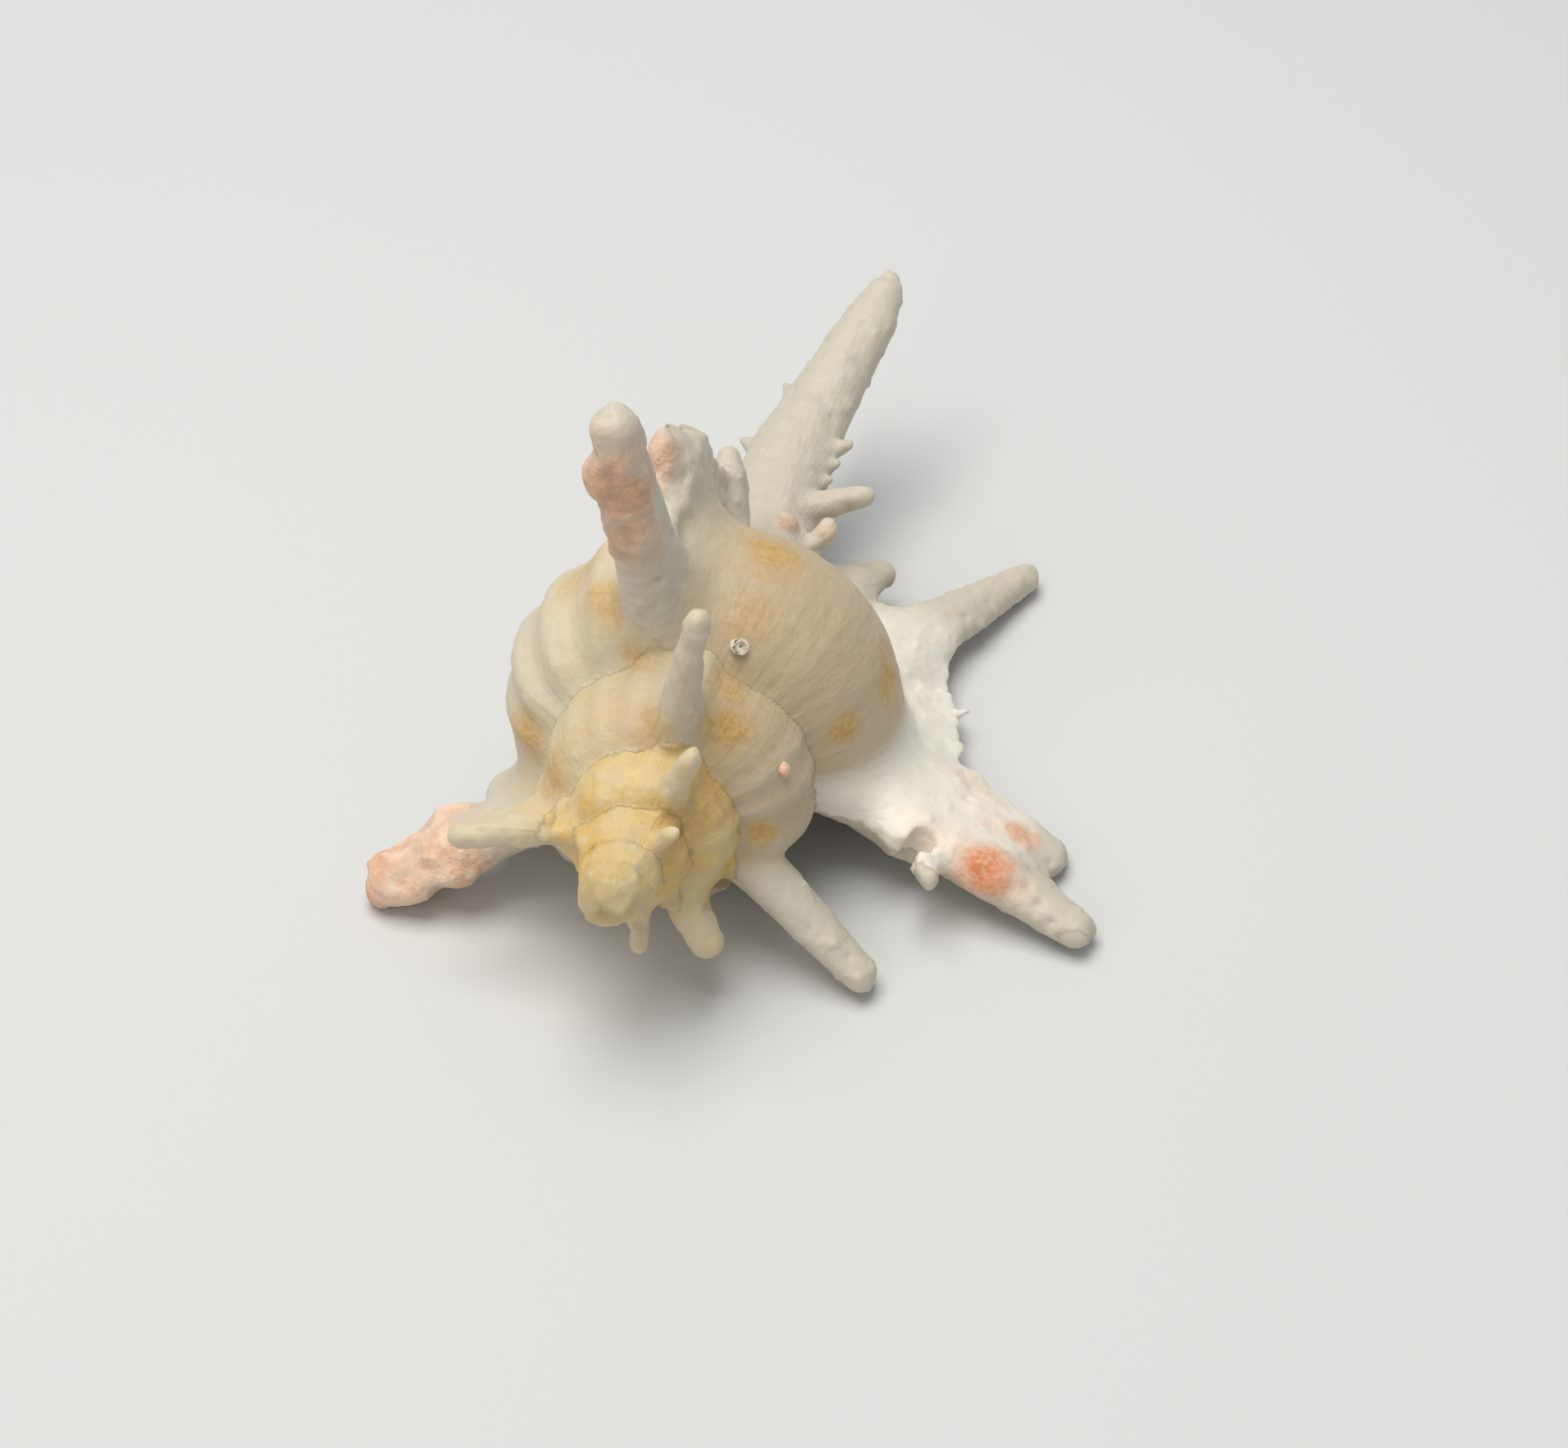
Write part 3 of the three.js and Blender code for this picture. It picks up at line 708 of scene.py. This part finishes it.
def add_crust(field, noise):
    """The crusts of coralline growth swell the surface into lumps."""
    for *centre, size, thickness, _ in CRUSTS:
        def swollen(values, x, y, z):
            points = np.stack([x.ravel(), y.ravel(), z.ravel()], 1)
            away = np.linalg.norm(points - np.array(centre, REAL), axis=1)
            near = np.where(np.abs(values.ravel()) < CRUST_REACH)[0]
            lumps = np.zeros(len(points), REAL)
            lumps[near] = CRUST_FILM + CRUST_LUMPS * noise.rough(points[near], CRUST_LUMP_SIZE, 2)
            cover = 1 - smoothstep(CRUST_WHOLE * size, CRUST_EDGE * size, away)
            return values - (thickness * cover * lumps).reshape(values.shape)

        field.change(np.array(centre) - size, np.array(centre) + size, swollen)


def shell_field(noise):
    field = Field(FIELD_LOW, FIELD_HIGH, VOXEL)
    add_turns(field)
    add_columella(field)
    add_tube(field, CANAL, np.array([1.0, 0, 0]), CANAL_FILLET)
    for varix, outline in enumerate((LIP_BLADE, BACK_BLADE, OLD_BLADE)):
        add_blade(field, varix, outline)
    for spine in SPINES:
        add_spine(field, *spine)
    for root, tip, root_size, tip_size in THORNS:
        stations = [(*root, root_size, root_size), (*tip, tip_size, tip_size)]
        add_tube(field, stations, np.array([0, 0, 1.0]), THORN_FILLET)
    add_crust(field, noise)
    cut_lumen(field)
    cut_slit(field)
    aside, through = NOTCH_RUN
    for x, y, z, size in NOTCHES:
        stations = [(x - aside, y, z - through, size, size), (x + aside, y, z + through, size, size)]
        add_tube(field, stations, np.array([0, 1.0, 0]), NOTCH_ROUNDING, cut=True)
    return field


# ---- the skin
def normals_of(points, quads):
    corners = points[quads]
    facing = np.cross(corners[:, 2] - corners[:, 0], corners[:, 3] - corners[:, 1])
    normals = np.zeros_like(points)
    for corner in range(4):
        np.add.at(normals, quads[:, corner], facing)
    return normals / (np.linalg.norm(normals, axis=1, keepdims=True) + TINIER)


def patch_cover(points, patches, noise, ragged):
    """How far each point lies in soft-edged, ragged patches of x, y, z, radius and strength."""
    cover = np.zeros(len(points), REAL)
    wobble = noise.rough(points, PATCH_WOBBLE, 3)
    for x, y, z, size, strength in patches:
        away = np.linalg.norm(points - np.array([x, y, z]), axis=1) + ragged * size * wobble
        inside = 1 - smoothstep(PATCH_WHOLE * size, PATCH_EDGE * size, away)
        cover = np.maximum(cover, strength * inside)
    return cover


def growth_facts(points):
    """For each point: the growth of its nearest turn, its height on that turn and how far it stands off."""
    x, y, z = points.T
    radius, back = around_axis(x, z)
    best = np.full(len(points), 1e9)
    growth_there = np.zeros(len(points))
    height_there = np.zeros(len(points))
    off_there = np.zeros(len(points))
    for turn in range(TURNS):
        growth = -back - turn * TURN
        scale = scale_at(growth)
        distance, _ = turn_outline(radius / (scale * drawn_in(growth)), y / scale)
        off = distance - relief(growth, y / scale)
        closer = np.abs(off * scale) < best
        best = np.where(closer, np.abs(off * scale), best)
        growth_there = np.where(closer, growth, growth_there)
        height_there = np.where(closer, y / scale, height_there)
        off_there = np.where(closer, off, off_there)
    return growth_there, height_there, off_there


def fine_relief(points, growth, height, off, crust, noise):
    """Spiral cords, growth lines and the grain of the crust, as a lift along the normal."""
    scale = scale_at(growth)
    on_turn = 1 - smoothstep(*TURN_FADE, np.abs(off))
    cords = np.cos(TURN * height / CORD_PITCH) * on_turn * CORD_HEIGHT
    lines = np.cos(growth / LINE_STEP) * LINE_HEIGHT * on_turn
    lines *= LINE_SHARE + LINE_SHARE * noise(points, LINE_PATCH)
    granules = smoothstep(*GRANULES_START, growth) * GRANULE_HEIGHT * on_turn
    rows = 0.5 + 0.5 * np.cos(TURN * height / GRANULE_PITCH)
    granules = granules * rows * np.cos(growth / GRANULE_STEP)
    grain = noise.rough(points, CRUST_GRAIN_SIZE, 3) * CRUST_GRAIN * crust
    old = smoothstep(*OLD_START, growth)
    pits = noise.rough(points, WALL_GRAIN_SIZE, 2) * (WALL_GRAIN + OLD_GRAIN * old) * (1 - crust)
    knobs = noise(points, KNOB_SIZE) ** 3 * KNOB_HEIGHT * smoothstep(*SPINE_START, off)
    return (cords + lines + granules) * scale * (1 - crust) + grain + pits + knobs


def shell_mesh(noise):
    field = shell_field(noise)
    points, quads = field.skin()
    quads = quads.astype(np.int64)
    normals = normals_of(points, quads)
    if (points * normals).sum() < 0:
        quads = quads[:, ::-1]
        normals = -normals
    growth, height, off = growth_facts(points)
    crust = patch_cover(points, CRUST_PATCHES, noise, CRUST_RAGGED)
    points = points + normals * fine_relief(points, growth, height, off, crust, noise)[:, None]
    mesh = bpy.data.meshes.new("murex_shell_skin")
    mesh.from_pydata(points.tolist(), [], quads.tolist())
    mesh.update()
    return mesh


def add_attribute(mesh, name, values):
    layer = mesh.attributes.new(name, "FLOAT", "POINT")
    layer.data.foreach_set("value", np.ascontiguousarray(values, REAL))


def paint_facts(mesh, noise):
    """Writes down, point by point, what the material needs to know."""
    points = np.empty(len(mesh.vertices) * 3, REAL)
    mesh.vertices.foreach_get("co", points)
    points = points.reshape(-1, 3).astype(float)
    growth, height, off = growth_facts(points)
    x, y, z = points.T
    radius, back = around_axis(x, z)
    chamber = np.full(len(points), FAR)
    for past in (0, 1):
        inside_growth = TURN * past - back
        near = (inside_growth < LUMEN_MOUTH) & (inside_growth > -LUMEN_DEPTH)
        scale = scale_at(inside_growth)
        distance, _ = lumen_outline(radius / (scale * drawn_in(inside_growth)), y / scale)
        chamber = np.where(near, np.minimum(chamber, np.abs(distance)), chamber)
    apex = 1 - smoothstep(2.5, 5.0, y)
    tips = np.maximum(smoothstep(0.3, 2.2, off), smoothstep(36, 41, y))
    newest = smoothstep(-LIP_WHITENESS, -0.4 * LIP_WHITENESS, growth)
    add_attribute(mesh, "lip", newest * (1 - smoothstep(8, 11, off)) * (1 - smoothstep(36, 41, y)))
    tips = np.maximum(tips, newest)
    tips *= (1 - apex) * (1 - 0.6 * smoothstep(-0.9 * TURN, -1.6 * TURN, growth))
    spire = smoothstep(-1.05 * TURN, -2.0 * TURN, growth) * (1 - 0.7 * smoothstep(1.5, 5.0, off))
    spire = np.maximum(spire, apex)
    # painted shade mixed with the thin wall's own brown, on the side turned back from the lip
    brown_and_painted_shade = smoothstep(-0.2, 0.9, np.cos(back - PAINTED_SHADE_BACK)) * smoothstep(1.0, 4.0, y)
    add_attribute(mesh, "brown_and_painted_shade", brown_and_painted_shade * (1 - smoothstep(0.3, 1.5, off)))
    crest = relief(growth, height) / VARIX_SWELLING * (1 - smoothstep(0.5, 2.0, np.abs(off)))
    add_attribute(mesh, "crest", crest)
    add_attribute(mesh, "level", height)
    place = mesh.attributes.new("shell_place", "FLOAT_VECTOR", "POINT")
    place.data.foreach_set("vector", points.astype(REAL).ravel())
    add_attribute(mesh, "tips", tips)
    add_attribute(mesh, "spire", spire)
    add_attribute(mesh, "stain", patch_cover(points, STAINS, noise, STAIN_RAGGED))
    add_attribute(mesh, "crust", patch_cover(points, CRUST_PATCHES, noise, CRUST_RAGGED))
    add_attribute(mesh, "rust", patch_cover(points, RUSTS, noise, RUST_RAGGED))
    add_attribute(mesh, "dull", patch_cover(points, DULLS, noise, DULL_RAGGED))
    add_attribute(mesh, "chamber", 1 - smoothstep(0.3, 0.9, chamber))


def resting_matrix():
    """From the shell's own frame, in mm, to the row's frame, in metres."""
    turned = Matrix.Rotation(REST_ROLL, 4, "Y") @ Matrix.Rotation(REST_PITCH, 4, "X")
    place = Matrix.Translation(Vector(AXIS_START) * MM)
    return place @ turned @ Matrix.Scale(MM, 4)


def flatten_feet(mesh):
    """Nothing reaches through the ground: what stands on it is worn flat."""
    points = np.empty(len(mesh.vertices) * 3, REAL)
    mesh.vertices.foreach_get("co", points)
    points[2::3] = np.maximum(points[2::3], 0)
    mesh.vertices.foreach_set("co", points)


def smooth(mesh):
    mesh.polygons.foreach_set("use_smooth", np.ones(len(mesh.polygons), bool))


def show(name, mesh, material):
    piece = bpy.data.objects.new(name, mesh)
    bpy.context.scene.collection.objects.link(piece)
    mesh.materials.append(material)
    smooth(mesh)
    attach(piece, "root")
    return piece


def thinned(mesh):
    """The mesh with no more triangles than a piece may have."""
    triangles = sum(len(face.vertices) - 2 for face in mesh.polygons)
    if triangles <= MOST_TRIANGLES:
        return mesh
    piece = bpy.data.objects.new("thinning", mesh)
    bpy.context.scene.collection.objects.link(piece)
    modifier = piece.modifiers.new("thin", "DECIMATE")
    modifier.ratio = MOST_TRIANGLES / triangles
    thin = bpy.data.meshes.new_from_object(piece.evaluated_get(bpy.context.evaluated_depsgraph_get()))
    bpy.data.objects.remove(piece)
    return thin


# ---- materials
class Nodes:
    """A material's node tree, with short ways to add to it."""

    def __init__(self, name):
        self.material = bpy.data.materials.new(name)
        self.material.use_nodes = True
        self.tree = self.material.node_tree
        self.shader = self.tree.nodes["Principled BSDF"]

    def add(self, kind, **settings):
        node = self.tree.nodes.new(kind)
        for name, value in settings.items():
            setattr(node, name, value)
        return node

    def link(self, source, target):
        self.tree.links.new(source, target)

    def feed(self, socket, value):
        if isinstance(value, bpy.types.NodeSocket):
            self.link(value, socket)
        else:
            socket.default_value = value

    def fact(self, name):
        return self.add("ShaderNodeAttribute", attribute_name=name).outputs["Fac"]

    def math(self, operation, a, b=0.0, clamp=False):
        node = self.add("ShaderNodeMath", operation=operation, use_clamp=clamp)
        self.feed(node.inputs[0], a)
        self.feed(node.inputs[1], b)
        return node.outputs[0]

    def mix(self, share, a, b):
        node = self.add("ShaderNodeMix", data_type="RGBA")
        self.feed(node.inputs["Factor"], share)
        self.feed(node.inputs["A"], a)
        self.feed(node.inputs["B"], b)
        return node.outputs["Result"]

    def ramp(self, value, low, high, start=0.0, end=1.0):
        node = self.add("ShaderNodeMapRange", interpolation_type="SMOOTHSTEP")
        self.feed(node.inputs["Value"], value)
        for name, number in (("From Min", low), ("From Max", high), ("To Min", start), ("To Max", end)):
            node.inputs[name].default_value = number
        return node.outputs["Result"]

    def noise(self, vector, per_metre, detail=4.0, roughness=0.55):
        node = self.add("ShaderNodeTexNoise")
        self.link(vector, node.inputs["Vector"])
        node.inputs["Scale"].default_value = per_metre
        node.inputs["Detail"].default_value = detail
        node.inputs["Roughness"].default_value = roughness
        return node.outputs["Fac"]

    def cells(self, vector, per_metre):
        node = self.add("ShaderNodeTexVoronoi")
        self.link(vector, node.inputs["Vector"])
        node.inputs["Scale"].default_value = per_metre
        return node.outputs["Distance"]

    def bump(self, height, millimetres, before=None):
        node = self.add("ShaderNodeBump")
        node.inputs["Distance"].default_value = millimetres * MM
        self.link(height, node.inputs["Height"])
        if before is not None:
            self.link(before, node.inputs["Normal"])
        return node.outputs["Normal"]

    def glow(self, share, millimetres):
        """Light that sinks in this deep, the red deepest."""
        self.shader.inputs["Subsurface Weight"].default_value = share
        self.shader.inputs["Subsurface Radius"].default_value = (1.0, 0.7, 0.45)
        self.shader.inputs["Subsurface Scale"].default_value = millimetres * MM


def growth_lines(nodes):
    """Fine lines across the turns, drawn by the direction from the axis, and along them, by their height."""
    place = nodes.add("ShaderNodeAttribute", attribute_name="shell_place").outputs["Vector"]
    parts = nodes.add("ShaderNodeSeparateXYZ")
    nodes.link(place, parts.inputs[0])
    flat = nodes.add("ShaderNodeCombineXYZ")
    nodes.link(parts.outputs["X"], flat.inputs["X"])
    nodes.link(parts.outputs["Z"], flat.inputs["Z"])
    direction = nodes.add("ShaderNodeVectorMath", operation="NORMALIZE")
    nodes.link(flat.outputs[0], direction.inputs[0])
    across = nodes.add("ShaderNodeCombineXYZ")
    nodes.link(nodes.math("MULTIPLY", parts.outputs["Y"], 0.02), across.inputs["Y"])
    together = nodes.add("ShaderNodeVectorMath", operation="ADD")
    nodes.link(direction.outputs[0], together.inputs[0])
    nodes.link(across.outputs[0], together.inputs[1])
    lines = nodes.noise(together.outputs[0], 26, detail=3.0)
    level = nodes.add("ShaderNodeCombineXYZ")
    nodes.link(nodes.fact("level"), level.inputs["X"])
    threads = nodes.noise(level.outputs[0], 2.4, detail=2.0)
    return nodes.math("ADD", lines, nodes.math("MULTIPLY", threads, 0.6))


def shell_material():
    nodes = Nodes("murex_shell_wall")
    place = nodes.add("ShaderNodeTexCoord").outputs["Object"]
    broad = nodes.noise(place, 180)
    middling = nodes.noise(place, 700)
    fine = nodes.noise(place, 2600, detail=6.0)
    grain = nodes.cells(place, 3800)

    tips, spire, stain = nodes.fact("tips"), nodes.fact("spire"), nodes.fact("stain")
    crust, rust, dull = nodes.fact("crust"), nodes.fact("rust"), nodes.fact("dull")
    chamber = nodes.fact("chamber")

    wall = nodes.mix(nodes.ramp(broad, 0.35, 0.68), WALL_GREY, WALL_WARM)
    wall = nodes.mix(nodes.ramp(middling, 0.5, 0.75, 0.0, 0.35), wall, WALL_PALE)
    # painted shade, partly the wall's own brown: darker and browner on the side turned back from the lip
    wall = nodes.mix(nodes.math("MULTIPLY", nodes.fact("brown_and_painted_shade"), 0.75), wall, WALL_BROWN_AND_SHADE)
    wall = nodes.mix(nodes.math("MULTIPLY", nodes.fact("crest"), 0.8), wall, WALL_PALE)
    wall = nodes.mix(tips, wall, TIP_WHITE)
    wall = nodes.mix(nodes.fact("lip"), wall, LIP_WHITE)
    yellowed = nodes.math("MULTIPLY", spire, nodes.ramp(middling, 0.3, 0.62, 1.0, 0.55))
    wall = nodes.mix(yellowed, wall, nodes.mix(nodes.ramp(broad, 0.4, 0.6), SPIRE_STRAW, SPIRE_YELLOW))
    ragged = nodes.math("MULTIPLY", stain, nodes.ramp(middling, 0.3, 0.6, 0.75, 1.15), clamp=True)
    wall = nodes.mix(ragged, wall, nodes.mix(nodes.ramp(fine, 0.4, 0.62), STAIN_TAN, STAIN_GOLD))
    wall = nodes.mix(chamber, wall, CHAMBER_CREAM)
    pinks = nodes.mix(nodes.ramp(middling, 0.4, 0.62), CRUST_PINK, CRUST_PALE)
    pinks = nodes.mix(dull, pinks, nodes.mix(nodes.ramp(middling, 0.4, 0.6), CRUST_DULL, CRUST_PINK))
    pinks = nodes.mix(nodes.math("MULTIPLY", rust, nodes.ramp(fine, 0.3, 0.6, 0.5, 1.0)), pinks, CRUST_RED)
    ragged_crust = nodes.math("ADD", crust, nodes.ramp(middling, 0.25, 0.75, -0.12, 0.12))
    crusted = nodes.ramp(ragged_crust, 0.0, 0.95)
    wall = nodes.mix(crusted, wall, pinks)
    nodes.link(wall, nodes.shader.inputs["Base Color"])

    rough = nodes.ramp(middling, 0.3, 0.7, 0.42, 0.6)
    rough = nodes.math("ADD", rough, nodes.math("MULTIPLY", crusted, 0.3))
    rough = nodes.math("SUBTRACT", rough, nodes.math("MULTIPLY", chamber, 0.22), clamp=True)
    nodes.link(rough, nodes.shader.inputs["Roughness"])

    relief_height = nodes.math("ADD", middling, nodes.math("MULTIPLY", fine, 0.5))
    normal = nodes.bump(relief_height, 0.1)
    normal = nodes.bump(growth_lines(nodes), 0.07, normal)
    normal = nodes.bump(nodes.math("MULTIPLY", grain, crusted), 0.06, normal)
    nodes.link(normal, nodes.shader.inputs["Normal"])

    nodes.glow(0.3, 1.4)
    nodes.shader.inputs["Specular IOR Level"].default_value = 0.4
    return nodes.material


def small_growth_material(name, pale, dark):
    nodes = Nodes(name)
    place = nodes.add("ShaderNodeTexCoord").outputs["Object"]
    patches = nodes.noise(place, 2500)
    grain = nodes.cells(place, 6000)
    nodes.link(nodes.mix(nodes.ramp(patches, 0.35, 0.65), pale, dark), nodes.shader.inputs["Base Color"])
    nodes.link(nodes.ramp(patches, 0.3, 0.7, 0.4, 0.65), nodes.shader.inputs["Roughness"])
    nodes.link(nodes.bump(grain, 0.05), nodes.shader.inputs["Normal"])
    nodes.glow(0.2, 0.6)
    return nodes.material


# ---- small things grown on it
def settled(mesh, place):
    """The point of the skin nearest to a place, and the way out from it."""
    nearest = min(mesh.vertices, key=lambda vertex: (vertex.co - Vector(place)).length_squared)
    return nearest.co.copy(), nearest.normal.copy()


def bead_mesh(name, centre, outward, size, noise):
    """A small lumpy bead of crust, wider where it sits."""
    solid = bmesh.new()
    bmesh.ops.create_icosphere(solid, subdivisions=4, radius=1)
    points = np.array([vertex.co for vertex in solid.verts])
    lumps = 1 + BEAD_LUMPS * noise.rough(points + 5, BEAD_LUMP_SIZE, 3)
    tilt = outward.to_track_quat("Z", "X").to_matrix()
    for vertex, lump in zip(solid.verts, lumps):
        x, y, z = vertex.co
        spread = 1 + BEAD_SPREAD * max(-z, 0)
        squat = Vector((x * spread, y * spread, BEAD_SQUAT * z + BEAD_RISE))
        vertex.co = centre + tilt @ squat * size * float(lump)
    mesh = bpy.data.meshes.new(name)
    solid.to_mesh(mesh)
    solid.free()
    return mesh


def tube_mesh(name, line, size, sides=14):
    """A tube with an open mouth, along a line of points: a worm's tube."""
    vertices, faces = [], []
    # the last two rings turn back into the mouth
    rings = [(step, 1.0) for step in range(len(line))] + [(len(line) - 1, 0.55), (len(line) - 2, 0.5)]
    for step, fullness in rings:
        before = line[max(step - 1, 0)]
        after = line[min(step + 1, len(line) - 1)]
        along = (after - before).normalized()
        across = along.orthogonal().normalized()
        through = along.cross(across)
        for side in range(sides):
            angle = TURN * side / sides
            round_it = math.cos(angle) * across + math.sin(angle) * through
            vertices.append(line[step] + size * fullness * round_it)
    for ring in range(len(rings) - 1):
        for side in range(sides):
            other = (side + 1) % sides
            faces.append([ring * sides + side, ring * sides + other,
                          (ring + 1) * sides + other, (ring + 1) * sides + side])
    faces.append(list(range(sides))[::-1])
    faces.append([(len(rings) - 1) * sides + side for side in range(sides)])
    mesh = bpy.data.meshes.new(name)
    mesh.from_pydata(vertices, [], faces)
    return mesh


# ---- stage
def area_light(name, place, aim, size, power, tint):
    light = bpy.data.lights.new(name, "AREA")
    light.shape = "RECTANGLE"
    light.size, light.size_y = size
    light.energy = power
    light.color = tint
    lamp = bpy.data.objects.new(name, light)
    lamp.location = place
    lamp.rotation_euler = (Vector(aim) - Vector(place)).to_track_quat("-Z", "Y").to_euler()
    bpy.context.scene.collection.objects.link(lamp)


def build_stage():
    floor_size = 1.5
    corners = [(-floor_size, -floor_size, 0), (floor_size, -floor_size, 0),
               (floor_size, floor_size, 0), (-floor_size, floor_size, 0)]
    mesh = bpy.data.meshes.new("floor")
    mesh.from_pydata(corners, [], [(0, 1, 2, 3)])
    floor = bpy.data.objects.new("floor", mesh)
    bpy.context.scene.collection.objects.link(floor)
    nodes = Nodes("floor_paper")
    nodes.shader.inputs["Base Color"].default_value = FLOOR_GREY
    nodes.shader.inputs["Roughness"].default_value = 0.9
    mesh.materials.append(nodes.material)

    world = bpy.data.worlds.new("studio")
    world.use_nodes = True
    background = world.node_tree.nodes["Background"]
    background.inputs["Color"].default_value = WORLD_TINT
    background.inputs["Strength"].default_value = WORLD_STRENGTH
    bpy.context.scene.world = world
    bpy.context.scene.view_settings.view_transform = "Standard"
    for light in LIGHTS:
        area_light(*light)


def build_camera():
    camera = bpy.data.cameras.new("camera")
    camera.lens = LENS
    camera.sensor_width = 36
    camera.clip_start = 0.01
    camera.clip_end = 10
    holder = bpy.data.objects.new("camera", camera)
    towards = Vector(CAMERA_AIM) - Vector(CAMERA_PLACE)
    level = towards.to_track_quat("-Z", "Y").to_matrix().to_4x4()
    holder.matrix_world = (Matrix.Translation(CAMERA_PLACE) @ level
                           @ Matrix.Rotation(CAMERA_ROLL, 4, "Z"))
    bpy.context.scene.collection.objects.link(holder)
    bpy.context.scene.camera = holder


build_camera()
build_stage()

relief_noise = Noise(7)
wall_mesh = thinned(shell_mesh(relief_noise))
paint_facts(wall_mesh, relief_noise)
wall_mesh.update()
foot, outward = settled(wall_mesh, WORM_PLACE)
worm_line = [foot + outward * rise + Vector((0.06, 0, 0)) * step for step, rise in enumerate(WORM_RISES)]
worm_mesh = tube_mesh("worm_tube", worm_line, WORM_SIZE)
bead = bead_mesh("crust_bead", *settled(wall_mesh, BEAD_PLACE), BEAD_SIZE, relief_noise)

at_rest = resting_matrix()
for mesh in (wall_mesh, worm_mesh, bead):
    mesh.transform(at_rest)
flatten_feet(wall_mesh)
wall = show("murex_shell_wall", wall_mesh, shell_material())
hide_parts("murex_shell")
show("worm_tube", worm_mesh, small_growth_material("worm_tube_lime", WORM_LIME, WORM_SHADE))
show("crust_bead", bead, small_growth_material("crust_bead_pink", CRUST_PALE, CRUST_PINK))
